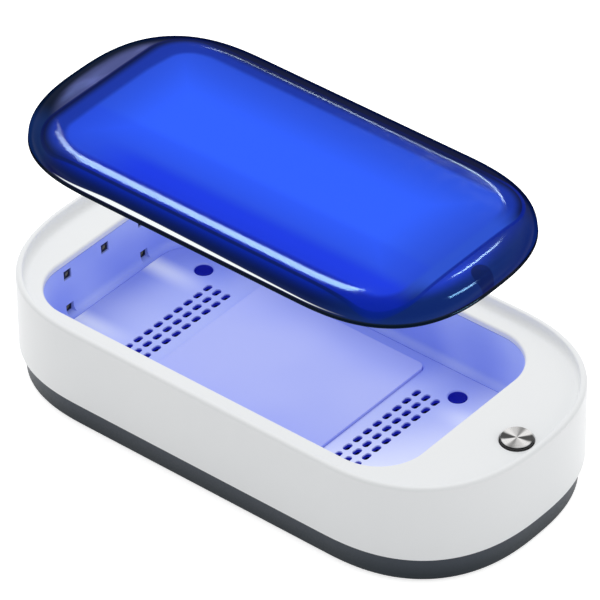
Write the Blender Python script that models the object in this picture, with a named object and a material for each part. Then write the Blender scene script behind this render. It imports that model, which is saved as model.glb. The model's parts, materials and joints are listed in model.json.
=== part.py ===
# Ultraviolet cleaning box for a telephone: a white upper shell on a slate base pan, a lit
# chamber with a charging pad in its floor, a push button on the deck, and a translucent lid
# that lifts straight off. All lengths are in metres, +Z is up, X runs along the box and the
# origin is on the table under the middle of the shell. The lid is drawn lifted.

import math

import bmesh
import bpy
from mathutils import Vector

# Clearances that every piece shares
gap = 0.0003                    # between a piece and its seat
overrun = 0.002                 # how far a cutter runs past a face
sink = 0.0005                   # how far a fused boss runs into its wall

# Upper shell: outline, wall, rim and deck
shell_length = 0.2150
shell_width = 0.1090
shell_end_reach = 0.0531        # run along X of each rounded end
shell_end_exponent = 2.43       # 2 would be an ellipse, more is squarer
shell_wall = 0.0023
seam_break = 0.0005             # small bevel at the lower edge
rim_outer_round = 0.0013
rim_inner_round = 0.0006
rim_cove = 0.0024               # hollow between the rim and the deck
deck_drop = 0.0039              # rim top to deck
deck_thickness = 0.0022
deck_left = 0.01835             # outside of the shell to the mouth, left end
deck_right = 0.03240            # the same at the button's end
deck_side = 0.0108              # the same along each side
mouth_corner_radius = 0.0185
mouth_round = 0.0010

# Screw bosses that hang from the deck
boss_radius = 0.0032
boss_from_end = 0.0109
boss_side_share = 0.400         # of the shell's half width
board_post_radius = 0.0025
board_post_margin = 0.0040      # from the end of the button's board

# Heights under the chamber, from the table up
foot_height = 0.0012            # table to the pan's underside
pan_floor = 0.0020
electronics_height = 0.0104     # clear space between the pan and the chamber floor
pan_side_height = 0.0107        # underside to the seam

# Base pan
pan_bottom_inset = 0.0022
pan_bottom_round = 0.0014
pan_step = 0.0009               # how far the pan sits in from the shell at the seam
pan_wall = 0.0015               # tongue that stands inside the shell
pan_tongue_rise = 0.0031
pan_inner_fillet = 0.0010
pan_post_height = 0.0025
head_web = 0.0020               # plastic left over a screw's head

# Feet
foot_radius = 0.0050
foot_recess = 0.0008
foot_edge = 0.0004
foot_from_end = 0.0275
foot_from_side = 0.0205

# Chamber walls
chamber_depth = 0.0238
chamber_draft = 0.0008          # how far each wall leans in at the floor
chamber_fillet = 0.0030
liner_wall = 0.0015
liner_flange = 0.0035
liner_flange_thickness = 0.0015
liner_ledge = 0.0040            # what the floor panel rests on
liner_ledge_thickness = 0.0015

# Chamber floor
floor_thickness = 0.0018
pattern_shift = 0.0010          # slots and pad sit this far left of the mouth's middle
well_shift = 0.0020             # the wells sit this far left of the slots' middle
well_radius = 0.0035
well_wall = 0.0012
well_depth_below = 0.0035       # cup under the panel
well_from_end = 0.0201
well_from_side = 0.0106
slot_length = 0.0041
slot_width = 0.0025
slot_rows = 9
slot_columns = 3
slot_row_pitch = 0.0054
slot_column_pitch = 0.0042
slots_from_end = 0.0304
plug_recess = 0.0006
plug_dish = 0.0004
plug_rim_share = 0.7

# Charging pad, winding and what carries them
pad_from_end = 0.0410
pad_from_side = 0.0046
pad_corner_radius = 0.0030
pad_thickness = 0.0014
pad_seat = 0.0007               # depth of the pad's pocket
pad_edge = 0.0003
coil_inner_radius = 0.0100
coil_outer_radius = 0.0215
coil_turns = 8
coil_strip = 0.0009
coil_height = 0.0013
shield_thickness = 0.0006
shield_margin = 0.0005
carrier_floor = 0.0015
carrier_side = 0.0045           # plastic around the winding
carrier_corner_radius = 0.0030
carrier_leg = 0.0050
carrier_window_radius = 0.0060

# Screws
screw_radius = 0.00125
screw_head_radius = 0.0025
screw_head_height = 0.0015
housing_screw_bite = 0.0080
floor_screw_bite = 0.0045
small_screw_radius = 0.0009
small_head_radius = 0.0018
small_head_height = 0.0011
small_screw_bite = 0.0030

# Circuit boards
board_thickness = 0.0012
board_corner_radius = 0.0010
charger_board_clearance = 0.0008    # to the legs of the winding's tray
charger_board_front = 0.0340    # from the winding's middle towards the front
charger_standoff_height = 0.0015
charger_standoff_radius = 0.0022
charger_screw_margin = 0.0035
button_board_drop = 0.0092      # deck underside to the board
button_board_margin = 0.0037
button_board_lead = 0.0022      # lamp board to button board

# Power socket
socket_width = 0.0090
socket_height = 0.0033
socket_depth = 0.0073
socket_skin = 0.0004
socket_tongue_width = 0.0067
socket_tongue_height = 0.0007
socket_recess = 0.0005          # how far the socket sits inside the wall

# Lamps in the end walls
lamp_size = 0.0033
lamp_depth = 0.0014
lamp_from_corner = 0.0052       # from the start of the corner's curve
lamp_top_drop = 0.0068          # deck to the upper row
lamp_low_rise = 0.0024          # chamber floor to the lower row
lamp_board_margin = 0.0026

# Button and switch
button_place_share = 0.752      # of the deck between mouth and shell end
button_radius = 0.0058
button_proud = 0.0004
button_edge = 0.0003
button_flange = 0.0013
button_flange_thickness = 0.0010
button_stem_radius = 0.0018
button_travel = 0.0008
cap_radius = 0.0055
cap_thickness = 0.0007
cap_edge = 0.0002
cap_dish = 0.0002
cap_rim_share = 0.86
switch_size = 0.0060
switch_height = 0.0035
switch_edge = 0.0004
plunger_radius = 0.0013
plunger_length = 0.0024
plunger_rise = 0.0010
sensor_length = 0.0030
sensor_width = 0.0040
sensor_height = 0.0012
sensor_margin = 0.0008

# Lid
lid_lift = 0.0597               # deck to the lid's lower edge as drawn
lid_overlap_end = 0.0112        # past the mouth
lid_overlap_side = 0.0038
lid_end_reach = 0.0490
lid_end_exponent = 2.65
lid_wall = 0.0018
lid_edge_height = 0.0016
lid_edge_break = 0.0004
lid_shoulder = 0.0075
lid_crown = 0.0010
lid_rib_cover = 0.0014          # top of the shoulder to the top of the skirt and boss
crown_shares = (0.15, 0.45, 0.80)
skirt_clearance = 0.0010
skirt_thickness = 0.0014
skirt_drop = 0.0016             # below the lid's lower edge
skirt_corner_radius = 0.0240
magnet_from_mouth = 0.0036      # past the mouth's right end
magnet_boss_radius = 0.0036
magnet_boss_rise = 0.0008       # lid's lower edge to the boss
magnet_radius = 0.0026
magnet_thickness = 0.0020

# Leads between the boards
lead_radius = 0.0009
lead_bow = 0.0045
lead_floor_clear = 0.0020
lead_spacing = 0.0060
lead_start_drop = 0.0150        # deck underside to where a lamp's lead starts

# How finely curves are cut
shell_steps = 11                # per quarter of the shell's outline
lid_steps = 11
corner_steps = 5
round_sides = 18
well_sides = 12
small_sides = 10
coil_sides = 16                 # per turn of the winding
lead_step_diameters = 3         # from one point of a lead to the next

# Levels and places that follow from the sizes above
half_length = shell_length / 2
half_width = shell_width / 2
pan_bottom = foot_height
pan_floor_top = pan_bottom + pan_floor
seam_height = pan_bottom + pan_side_height
floor_underside = pan_floor_top + electronics_height
floor_top = floor_underside + floor_thickness
deck_height = floor_top + chamber_depth
deck_underside = deck_height - deck_thickness
rim_height = deck_height + deck_drop

mouth_x = (deck_left - deck_right) / 2
mouth_half_length = half_length - (deck_left + deck_right) / 2
mouth_half_width = half_width - deck_side
panel_inset = chamber_draft + chamber_fillet + gap
panel_half_length = mouth_half_length - panel_inset
panel_half_width = mouth_half_width - panel_inset

pattern_x = mouth_x - pattern_shift
well_x = pattern_x - well_shift
well_reach_x = panel_half_length - well_from_end
well_reach_y = panel_half_width - well_from_side
pad_half_length = panel_half_length - pad_from_end
pad_half_width = panel_half_width - pad_from_side

cup_bottom = floor_underside - well_depth_below
cup_seat = cup_bottom + well_wall
floor_post_top = cup_bottom - gap
pan_post_top = pan_floor_top + pan_post_height
boss_bottom = pan_post_top + gap
boss_reach_x = half_length - boss_from_end
boss_reach_y = boss_side_share * half_width
head_seat = pan_post_top - head_web
screw_hole_radius = screw_radius + gap
small_hole_radius = small_screw_radius + gap

coil_top = floor_underside - gap
coil_bottom = coil_top - coil_height
shield_top = coil_bottom - gap
shield_bottom = shield_top - shield_thickness
carrier_seat = shield_bottom - gap
carrier_bottom = carrier_seat - carrier_floor
carrier_pocket_radius = coil_outer_radius + shield_margin + gap
carrier_half = carrier_pocket_radius + carrier_side
leg_reach = carrier_half - (carrier_leg + carrier_corner_radius) / 2

charger_board_bottom = pan_floor_top + charger_standoff_height + gap
charger_board_top = charger_board_bottom + board_thickness
charger_board_back = half_width - shell_wall - pan_wall - 3 * gap
charger_board_reach = leg_reach - carrier_leg / 2 - charger_board_clearance
charger_screw_x = charger_board_reach - charger_screw_margin
socket_bottom = charger_board_top + gap
socket_middle = socket_bottom + socket_height / 2

lamp_reach_y = mouth_half_width - mouth_corner_radius - lamp_from_corner
lamp_top_z = deck_height - lamp_top_drop
lamp_low_z = floor_top + lamp_low_rise
lamp_face_reach = mouth_half_length + liner_wall + gap

button_x = mouth_x + mouth_half_length + button_place_share * (deck_right - shell_wall - rim_cove)
button_board_top = deck_underside - button_board_drop - gap
button_board_bottom = button_board_top - board_thickness
button_board_left = mouth_x + lamp_face_reach + board_thickness + button_board_lead
button_board_right = half_length - shell_wall - button_board_margin
board_post_x = (button_board_left + button_board_right) / 2
button_board_reach = boss_reach_y - boss_radius - 2 * gap
board_post_y = button_board_reach - board_post_margin

lid_bottom = deck_height + lid_lift
lid_half_length = mouth_half_length + lid_overlap_end
lid_half_width = mouth_half_width + lid_overlap_side
lid_rib_top = lid_bottom + lid_edge_height + lid_shoulder - lid_rib_cover
magnet_x = mouth_x + mouth_half_length + magnet_from_mouth
magnet_boss_bottom = lid_bottom + magnet_boss_rise

# Colours, roughness and metalness of each finish
finishes = {
    "white_shell": ((0.86, 0.87, 0.88), 0.35, 0.0),
    "slate_shell": ((0.055, 0.065, 0.080), 0.45, 0.0),
    "chamber_plastic": ((0.52, 0.56, 0.90), 0.40, 0.0),
    "pad_plastic": ((0.62, 0.66, 0.95), 0.35, 0.0),
    "plug_rubber": ((0.03, 0.03, 0.20), 0.60, 0.0),
    "blue_lid": ((0.02, 0.10, 0.85), 0.10, 0.0),
    "spun_metal": ((0.72, 0.71, 0.70), 0.25, 1.0),
    "dark_plastic": ((0.04, 0.04, 0.045), 0.40, 0.0),
    "board_green": ((0.02, 0.16, 0.07), 0.50, 0.0),
    "lamp_chip": ((0.75, 0.70, 0.35), 0.30, 0.0),
    "copper": ((0.80, 0.38, 0.20), 0.30, 1.0),
    "ferrite": ((0.08, 0.08, 0.085), 0.70, 0.0),
    "steel": ((0.62, 0.62, 0.63), 0.30, 1.0),
    "foot_rubber": ((0.03, 0.03, 0.03), 0.85, 0.0),
    "lead_sleeve": ((0.80, 0.80, 0.82), 0.50, 0.0),
}

sharp_angle = math.radians(32)

# The order in which corner_places gives its places
corner_words = ("front_left", "back_left", "front_right", "back_right")


def clear_scene():
    for item in list(bpy.data.objects):
        bpy.data.objects.remove(item)


def make_finish(name):
    colour, roughness, metallic = finishes[name]
    finish = bpy.data.materials.new(name)
    finish.use_nodes = True
    shader = finish.node_tree.nodes["Principled BSDF"]
    shader.inputs["Base Color"].default_value = (*colour, 1)
    shader.inputs["Roughness"].default_value = roughness
    shader.inputs["Metallic"].default_value = metallic
    finish.diffuse_color = (*colour, 1)
    return finish


def rounded_outline(centre_x, half_x, half_y, reach_x, reach_y, exponent, steps):
    # Rounded corners of the given reach joined by straight sides, counterclockwise from +X.
    quarter = []
    for step in range(steps + 1):
        angle = math.pi / 2 * step / steps
        across = max(math.cos(angle), 0) ** (2 / exponent)
        along = math.sin(angle) ** (2 / exponent)
        quarter.append(Vector((half_x - reach_x * (1 - across), half_y - reach_y * (1 - along))))
    half = quarter + [Vector((-point.x, point.y)) for point in reversed(quarter)]
    ring = half + [Vector((-point.x, -point.y)) for point in half]
    limit = half_x / 10 ** 5
    kept = [point for index, point in enumerate(ring) if (point - ring[index - 1]).length > limit]
    return [Vector((centre_x + point.x, point.y)) for point in kept]


def lift(outline, height):
    return [Vector((point.x, point.y, height)) for point in outline]


def arc(centre_inset, centre_height, radius, start, end, steps):
    # Points of an arc in a wall's section, as pairs of inset and height, angles in degrees.
    points = []
    for step in range(steps + 1):
        angle = math.radians(start + (end - start) * step / steps)
        points.append((centre_inset + radius * math.cos(angle), centre_height + radius * math.sin(angle)))
    return points


def shell_ring(inset, height):
    outline = rounded_outline(0, half_length - inset, half_width - inset, shell_end_reach - inset,
                              half_width - inset, shell_end_exponent, shell_steps)
    return lift(outline, height)


def mouth_ring(inset, height):
    radius = mouth_corner_radius - inset
    outline = rounded_outline(mouth_x, mouth_half_length - inset, mouth_half_width - inset,
                              radius, radius, 2, corner_steps)
    return lift(outline, height)


def lid_ring(inset, height):
    outline = rounded_outline(mouth_x, lid_half_length - inset, lid_half_width - inset,
                              max(lid_end_reach - inset, gap), lid_half_width - inset,
                              lid_end_exponent, lid_steps)
    return lift(outline, lid_bottom + height)


def ring_edges(form, ring):
    pairs = [(ring[index - 1], ring[index]) for index in range(len(ring))]
    return [form.edges.get(pair) or form.edges.new(pair) for pair in pairs]


def loft(form, outlines, closed=False):
    # Joins each ring to the next, and ends in flat caps or back at the first ring. Where two
    # rings in one plane have unlike numbers of corners, the plane is filled between them.
    rings = [[form.verts.new(point) for point in outline] for outline in outlines]
    pairs = list(zip(rings, rings[1:]))
    if closed:
        pairs.append((rings[-1], rings[0]))
    else:
        form.faces.new(rings[0])
        form.faces.new(rings[-1])
    for lower, upper in pairs:
        if len(lower) != len(upper):
            bmesh.ops.triangle_fill(form, edges=ring_edges(form, lower) + ring_edges(form, upper),
                                    use_beauty=True)
            continue
        for index in range(len(lower)):
            form.faces.new((lower[index - 1], lower[index], upper[index], upper[index - 1]))


def add_object(name, form, finish):
    bmesh.ops.recalc_face_normals(form, faces=form.faces)
    if form.calc_volume(signed=True) < 0:
        bmesh.ops.reverse_faces(form, faces=form.faces)
    mesh = bpy.data.meshes.new(name)
    form.to_mesh(mesh)
    form.free()
    mesh.shade_smooth()
    mesh.set_sharp_from_angle(angle=sharp_angle)
    mesh.materials.append(finish)
    item = bpy.data.objects.new(name, mesh)
    bpy.context.scene.collection.objects.link(item)
    return item


def lofted(name, rings, finish, closed=False):
    form = bmesh.new()
    loft(form, rings, closed)
    return add_object(name, form, finish)


def turned(name, places, profile, finish, sides=round_sides):
    # A turned form at each place. The profile is pairs of radius and height, from one end to the other.
    form = bmesh.new()
    for x, y in places:
        line = [form.verts.new((x + radius, y, height)) for radius, height in profile]
        edges = [form.edges.new(pair) for pair in zip(line, line[1:])]
        bmesh.ops.spin(form, geom=line + edges, cent=(x, y, 0), axis=(0, 0, 1), angle=2 * math.pi,
                       steps=sides, use_merge=True)
    bmesh.ops.holes_fill(form, edges=form.edges, sides=sides)
    return add_object(name, form, finish)


def turned_each(stem, words, places, profile, finish, sides=round_sides):
    # A piece of its own at each place, named by its stem and the place's word.
    for word, place in zip(words, places):
        turned(stem + "_" + word, [place], profile, finish, sides)


def plate(name, centre_x, centre_y, half_x, half_y, radius, bottom, top, finish, edge=0):
    # A flat plate with round corners and, if asked, a small bevel round its top.
    form = bmesh.new()
    levels = [(0, bottom), (0, top - edge), (edge, top)] if edge else [(0, bottom), (0, top)]
    rings = []
    for inset, height in levels:
        corner = radius - inset
        outline = rounded_outline(centre_x, half_x - inset, half_y - inset, corner, corner, 2, 3)
        rings.append([Vector((point.x, point.y + centre_y, height)) for point in outline])
    loft(form, rings)
    return add_object(name, form, finish)


def block(form, low, high):
    corners = [(low[0], low[1]), (high[0], low[1]), (high[0], high[1]), (low[0], high[1])]
    loft(form, [[Vector((x, y, height)) for x, y in corners] for height in (low[2], high[2])])


def blocks(name, boxes, finish):
    form = bmesh.new()
    for low, high in boxes:
        block(form, low, high)
    return add_object(name, form, finish)


def as_tool(item):
    item.hide_render = True
    item.display_type = "WIRE"
    return item


def combine(target, tool, operation):
    step = target.modifiers.new(operation.lower() + "_" + tool.name, "BOOLEAN")
    step.operation = operation
    step.solver = "EXACT"
    step.object = as_tool(tool)


def move_together(name, place, items):
    # An empty on the line that the pieces slide along, with the pieces as its children.
    axis = bpy.data.objects.new(name, None)
    axis.location = place
    bpy.context.scene.collection.objects.link(axis)
    for item in items:
        item.parent = axis
        item.location = -Vector(place)


def corner_places(centre_x, reach_x, reach_y):
    return [(centre_x + sign_x * reach_x, sign_y * reach_y) for sign_x in (-1, 1) for sign_y in (-1, 1)]


def build_upper_housing(finish):
    # The section runs up the outer wall, over the rim, across the deck and back inside.
    wall = [(seam_break, seam_height), (0, seam_height + seam_break)]
    wall += arc(rim_outer_round, rim_height - rim_outer_round, rim_outer_round, 180, 90, 3)
    wall += arc(shell_wall - rim_inner_round, rim_height - rim_inner_round, rim_inner_round, 90, 0, 2)
    wall += arc(shell_wall + rim_cove, deck_height + rim_cove, rim_cove, 180, 270, 3)
    rings = [shell_ring(inset, height) for inset, height in wall]
    mouth = arc(mouth_round, deck_height - mouth_round, mouth_round, 90, 180, 3)
    rings += [mouth_ring(-inset, height) for inset, height in mouth]
    rings.append(mouth_ring(0, deck_underside))
    rings.append(shell_ring(shell_wall, deck_underside))
    rings.append(shell_ring(shell_wall, seam_height))
    housing = lofted("upper_housing", rings, finish, closed=True)

    boss_places = corner_places(0, boss_reach_x, boss_reach_y)
    bosses = turned("housing_boss_form", boss_places,
                    [(boss_radius, boss_bottom), (boss_radius, deck_underside + sink)], finish, small_sides)
    combine(housing, bosses, "UNION")
    post_places = button_board_places()
    post_bottom = button_board_top + gap
    posts = turned("board_post_form", post_places,
                   [(board_post_radius, post_bottom), (board_post_radius, deck_underside + sink)],
                   finish, small_sides)
    combine(housing, posts, "UNION")

    pilots = turned("housing_pilot_cut", boss_places,
                    [(screw_hole_radius, boss_bottom - overrun),
                     (screw_hole_radius, boss_bottom + housing_screw_bite + gap)], finish, small_sides)
    combine(housing, pilots, "DIFFERENCE")
    post_pilots = turned("post_pilot_cut", post_places,
                         [(small_hole_radius, post_bottom - overrun),
                          (small_hole_radius, post_bottom + small_screw_bite + gap)], finish, small_sides)
    combine(housing, post_pilots, "DIFFERENCE")
    button_hole = turned("button_hole_cut", [(button_x, 0)],
                         [(button_radius + gap, deck_underside - overrun),
                          (button_radius + gap, deck_height + overrun)], finish, 2 * small_sides)
    combine(housing, button_hole, "DIFFERENCE")
    return housing


def socket_outline(half_x, half_z, steps=4):
    return rounded_outline(pattern_x, half_x, half_z, half_z, half_z, 2, steps)


def stand(outline, y):
    return [Vector((point.x, y, socket_middle + point.y)) for point in outline]


def build_base_pan(finish):
    # The section runs from the flat underside up the outside, over the tongue and down inside.
    edge_inset = pan_bottom_inset + pan_bottom_round
    wall = arc(edge_inset, pan_bottom + pan_bottom_round, pan_bottom_round, 270, 180, 2)
    wall.append((pan_step, seam_height - gap))
    tongue = shell_wall + gap
    wall.append((tongue, seam_height - gap))
    wall.append((tongue, seam_height + pan_tongue_rise))
    inside = tongue + pan_wall
    wall.append((inside, seam_height + pan_tongue_rise))
    wall += arc(inside + pan_inner_fillet, pan_floor_top + pan_inner_fillet, pan_inner_fillet, 180, 270, 1)
    pan = lofted("base_pan", [shell_ring(inset, height) for inset, height in wall], finish)

    corner_holes = corner_places(0, boss_reach_x, boss_reach_y)
    well_holes = corner_places(well_x, well_reach_x, well_reach_y)
    posts = turned("corner_post_form", corner_holes,
                   [(boss_radius, pan_floor_top - sink), (boss_radius, pan_post_top)], finish, small_sides)
    combine(pan, posts, "UNION")
    floor_posts = turned("floor_post_form", well_holes,
                         [(boss_radius, pan_floor_top - sink), (boss_radius, floor_post_top)],
                         finish, small_sides)
    combine(pan, floor_posts, "UNION")
    standoffs = turned("standoff_form", charger_screw_places(),
                       [(charger_standoff_radius, pan_floor_top - sink),
                        (charger_standoff_radius, pan_floor_top + charger_standoff_height)],
                       finish, small_sides)
    combine(pan, standoffs, "UNION")

    head_hole = screw_head_radius + gap
    stepped = [(head_hole, pan_bottom - overrun), (head_hole, head_seat),
               (screw_hole_radius, head_seat), (screw_hole_radius, pan_post_top + overrun)]
    combine(pan, turned("corner_hole_cut", corner_holes, stepped, finish, small_sides), "DIFFERENCE")
    pilot = [(screw_hole_radius, floor_post_top - floor_screw_bite - gap),
             (screw_hole_radius, floor_post_top + overrun)]
    combine(pan, turned("floor_pilot_cut", well_holes, pilot, finish, small_sides), "DIFFERENCE")
    small_pilot = [(small_hole_radius, pan_floor_top - small_screw_bite / 2),
                   (small_hole_radius, pan_floor_top + charger_standoff_height + overrun)]
    combine(pan, turned("standoff_pilot_cut", charger_screw_places(), small_pilot, finish, small_sides),
            "DIFFERENCE")
    recess = [(foot_radius + gap, pan_bottom - overrun), (foot_radius + gap, pan_bottom + foot_recess)]
    combine(pan, turned("foot_recess_cut", foot_places(), recess, finish), "DIFFERENCE")
    opening = socket_outline(socket_width / 2 + gap, socket_height / 2 + gap)
    slot = lofted("socket_opening_cut", [stand(opening, half_width - shell_wall - pan_wall - overrun),
                                         stand(opening, half_width + overrun)], finish)
    combine(pan, slot, "DIFFERENCE")
    return pan


def button_board_places():
    return [(board_post_x, -board_post_y), (board_post_x, board_post_y)]


def foot_places():
    return corner_places(0, half_length - foot_from_end, half_width - foot_from_side)


def charger_screw_places():
    front = -charger_board_front + charger_screw_margin
    back = charger_board_back - socket_depth - 2 * charger_screw_margin
    return [(pattern_x + side * charger_screw_x, y) for side in (-1, 1) for y in (front, back)]


def build_feet(finish):
    profile = [(foot_radius - foot_edge, 0), (foot_radius, foot_edge),
               (foot_radius, pan_bottom + foot_recess - gap)]
    turned_each("foot", corner_words, foot_places(), profile, finish)


def lamp_places():
    row = [(-lamp_reach_y, lamp_top_z), (0, lamp_top_z), (lamp_reach_y, lamp_top_z)]
    return row + [(-lamp_reach_y, lamp_low_z), (lamp_reach_y, lamp_low_z)]


def build_chamber_liner(finish):
    # The section runs down the inside wall, round the ledge and back up outside to the flange.
    flange_top = deck_underside - gap
    wall_foot = floor_top + chamber_fillet
    section = [(0, flange_top)]
    section += arc(chamber_draft + chamber_fillet, wall_foot, chamber_fillet, 180, 270, 3)
    ledge_top = floor_underside - gap
    floor_edge = chamber_draft + chamber_fillet
    section.append((floor_edge, ledge_top))
    section.append((floor_edge + liner_ledge, ledge_top))
    section.append((floor_edge + liner_ledge, ledge_top - liner_ledge_thickness))
    section.append((-liner_wall, ledge_top - liner_ledge_thickness))
    section.append((-liner_wall, flange_top - liner_flange_thickness))
    section.append((-liner_flange, flange_top - liner_flange_thickness))
    section.append((-liner_flange, flange_top))
    rings = [mouth_ring(inset, height) for inset, height in section]
    liner = lofted("chamber_liner", rings, finish, closed=True)

    window = lamp_size / 2 + gap
    boxes = []
    for side in (-1, 1):
        ends = sorted((mouth_x + side * (mouth_half_length - chamber_draft - chamber_fillet),
                       mouth_x + side * (mouth_half_length + liner_wall + overrun)))
        for y, z in lamp_places():
            boxes.append(((ends[0], y - window, z - window), (ends[1], y + window, z + window)))
    combine(liner, blocks("lamp_window_cut", boxes, finish), "DIFFERENCE")
    return liner


def build_floor_panel(finish):
    radius = mouth_corner_radius - panel_inset
    outline = rounded_outline(mouth_x, panel_half_length, panel_half_width, radius, radius, 2, corner_steps)
    panel = lofted("floor_panel", [lift(outline, floor_underside), lift(outline, floor_top)], finish)

    wells = corner_places(well_x, well_reach_x, well_reach_y)
    cup_radius = well_radius + well_wall
    cup = [(cup_radius, cup_bottom), (cup_radius, floor_underside + sink)]
    cups = turned("well_cup_form", wells, cup, finish, well_sides)
    combine(panel, cups, "UNION")
    bore = [(screw_hole_radius, cup_bottom - overrun), (screw_hole_radius, cup_seat),
            (well_radius, cup_seat), (well_radius, floor_top + overrun)]
    combine(panel, turned("well_bore_cut", wells, bore, finish, well_sides), "DIFFERENCE")

    pocket = plate("pad_pocket_cut", pattern_x, 0, pad_half_length + gap, pad_half_width + gap,
                   pad_corner_radius + gap, floor_top - pad_seat, floor_top + overrun, finish)
    combine(panel, pocket, "DIFFERENCE")

    # The slots lie across the box, in a block of rows and columns at each end of the floor.
    form = bmesh.new()
    slot_reach_x = panel_half_length - slots_from_end
    for side in (-1, 1):
        for column in range(slot_columns):
            x = pattern_x + side * slot_reach_x + (column - (slot_columns - 1) / 2) * slot_column_pitch
            for row in range(slot_rows):
                y = (row - (slot_rows - 1) / 2) * slot_row_pitch
                low = (x - slot_width / 2, y - slot_length / 2, floor_underside - overrun)
                high = (x + slot_width / 2, y + slot_length / 2, floor_top + overrun)
                block(form, low, high)
    combine(panel, add_object("slot_cut", form, finish), "DIFFERENCE")
    return panel


def build_well_plugs(finish):
    radius = well_radius - gap
    low = cup_seat + 2 * gap + screw_head_height
    top = floor_top - plug_recess
    profile = [(radius, low), (radius, top), (plug_rim_share * radius, top - plug_dish / 2),
               (plug_rim_share * radius / 2, top - plug_dish)]
    wells = corner_places(well_x, well_reach_x, well_reach_y)
    turned_each("well_plug", corner_words, wells, profile, finish, well_sides)


def build_charging_pad(finish):
    bottom = floor_top - pad_seat + gap
    return plate("charging_pad", pattern_x, 0, pad_half_length, pad_half_width, pad_corner_radius,
                 bottom, bottom + pad_thickness, finish, pad_edge)


def build_charging_coil(finish):
    # One flat strip wound outwards at a steady rate.
    sections = coil_turns * coil_sides
    inner = coil_inner_radius + coil_strip / 2
    outer = coil_outer_radius - coil_strip / 2
    rings = []
    for section in range(sections + 1):
        turn = 2 * math.pi * section / coil_sides
        radius = inner + (outer - inner) * section / sections
        outward = Vector((math.cos(turn), math.sin(turn), 0))
        middle = Vector((pattern_x, 0, 0)) + outward * radius
        near = middle - outward * coil_strip / 2
        far = middle + outward * coil_strip / 2
        rings.append([Vector((near.x, near.y, coil_bottom)), Vector((far.x, far.y, coil_bottom)),
                      Vector((far.x, far.y, coil_top)), Vector((near.x, near.y, coil_top))])
    turn_gap = (outer - inner) / coil_turns - coil_strip
    print("least gap between turns of the winding:", round(turn_gap, 5))
    return lofted("charging_coil", rings, finish)


def build_coil_support(plastic, ferrite):
    shield = turned("ferrite_shield", [(pattern_x, 0)],
                    [(coil_outer_radius + shield_margin, shield_bottom),
                     (coil_outer_radius + shield_margin, shield_top)], ferrite, 2 * small_sides)
    carrier = plate("coil_carrier", pattern_x, 0, carrier_half, carrier_half, carrier_corner_radius,
                    carrier_bottom, coil_top, plastic)
    half_leg = carrier_leg / 2
    legs = []
    for x, y in corner_places(pattern_x, leg_reach, leg_reach):
        low = (x - half_leg, y - half_leg, pan_floor_top + gap)
        high = (x + half_leg, y + half_leg, carrier_bottom + sink)
        legs.append((low, high))
    combine(carrier, blocks("carrier_leg_form", legs, plastic), "UNION")
    pocket = [(carrier_pocket_radius, carrier_seat), (carrier_pocket_radius, coil_top + overrun)]
    pocket_cut = turned("carrier_pocket_cut", [(pattern_x, 0)], pocket, plastic, 2 * small_sides)
    combine(carrier, pocket_cut, "DIFFERENCE")
    window = [(carrier_window_radius, carrier_bottom - overrun),
              (carrier_window_radius, carrier_seat + overrun)]
    combine(carrier, turned("carrier_window_cut", [(pattern_x, 0)], window, plastic), "DIFFERENCE")
    return shield, carrier


def build_charger_board(finish):
    middle = (charger_board_back - charger_board_front) / 2
    reach = (charger_board_back + charger_board_front) / 2
    board = plate("charger_board", pattern_x, middle, charger_board_reach, reach, board_corner_radius,
                  charger_board_bottom, charger_board_top, finish)
    hole = [(small_hole_radius, charger_board_bottom - overrun),
            (small_hole_radius, charger_board_top + overrun)]
    holes = turned("charger_hole_cut", charger_screw_places(), hole, finish, small_sides)
    combine(board, holes, "DIFFERENCE")
    return board


def build_power_socket(finish):
    # A flat tube closed at its inner end, with a thin tongue standing in it.
    mouth_y = half_width - pan_bottom_inset - socket_recess
    back_y = mouth_y - socket_depth
    outer = socket_outline(socket_width / 2, socket_height / 2)
    socket = lofted("power_socket", [stand(outer, back_y), stand(outer, mouth_y)], finish)
    inner = socket_outline(socket_width / 2 - socket_skin, socket_height / 2 - socket_skin)
    seat_y = back_y + socket_skin
    bore = lofted("socket_bore_cut", [stand(inner, seat_y), stand(inner, mouth_y + overrun)], finish)
    combine(socket, bore, "DIFFERENCE")
    half_tongue = socket_tongue_width / 2
    low = (pattern_x - half_tongue, seat_y - socket_skin / 2, socket_middle - socket_tongue_height / 2)
    high = (pattern_x + half_tongue, mouth_y - 2 * socket_recess, socket_middle + socket_tongue_height / 2)
    combine(socket, blocks("socket_tongue_form", [(low, high)], finish), "UNION")
    return socket


def build_lamps(board_finish, chip_finish):
    half_chip = lamp_size / 2
    board_reach_y = mouth_half_width - mouth_corner_radius + gap
    board_low = lamp_low_z - lamp_board_margin
    board_high = deck_underside - liner_flange_thickness - 2 * gap
    for side, word in ((-1, "left"), (1, "right")):
        face = mouth_x + side * lamp_face_reach
        back = face + side * board_thickness
        ends = sorted((face, back))
        board = ((ends[0], -board_reach_y, board_low), (ends[1], board_reach_y, board_high))
        blocks("led_board_" + word, [board], board_finish)
        ends = sorted((face - side * gap, face - side * (gap + lamp_depth)))
        for number, (y, z) in enumerate(lamp_places(), 1):
            chip = ((ends[0], y - half_chip, z - half_chip), (ends[1], y + half_chip, z + half_chip))
            blocks("uv_led_" + word + "_" + str(number), [chip], chip_finish)


def build_button_board(finish):
    middle_x = (button_board_left + button_board_right) / 2
    reach_x = (button_board_right - button_board_left) / 2
    board = plate("button_board", middle_x, 0, reach_x, button_board_reach, board_corner_radius,
                  button_board_bottom, button_board_top, finish)
    hole = [(small_hole_radius, button_board_bottom - overrun),
            (small_hole_radius, button_board_top + overrun)]
    holes = turned("button_board_hole_cut", button_board_places(), hole, finish, small_sides)
    combine(board, holes, "DIFFERENCE")
    return board


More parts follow.
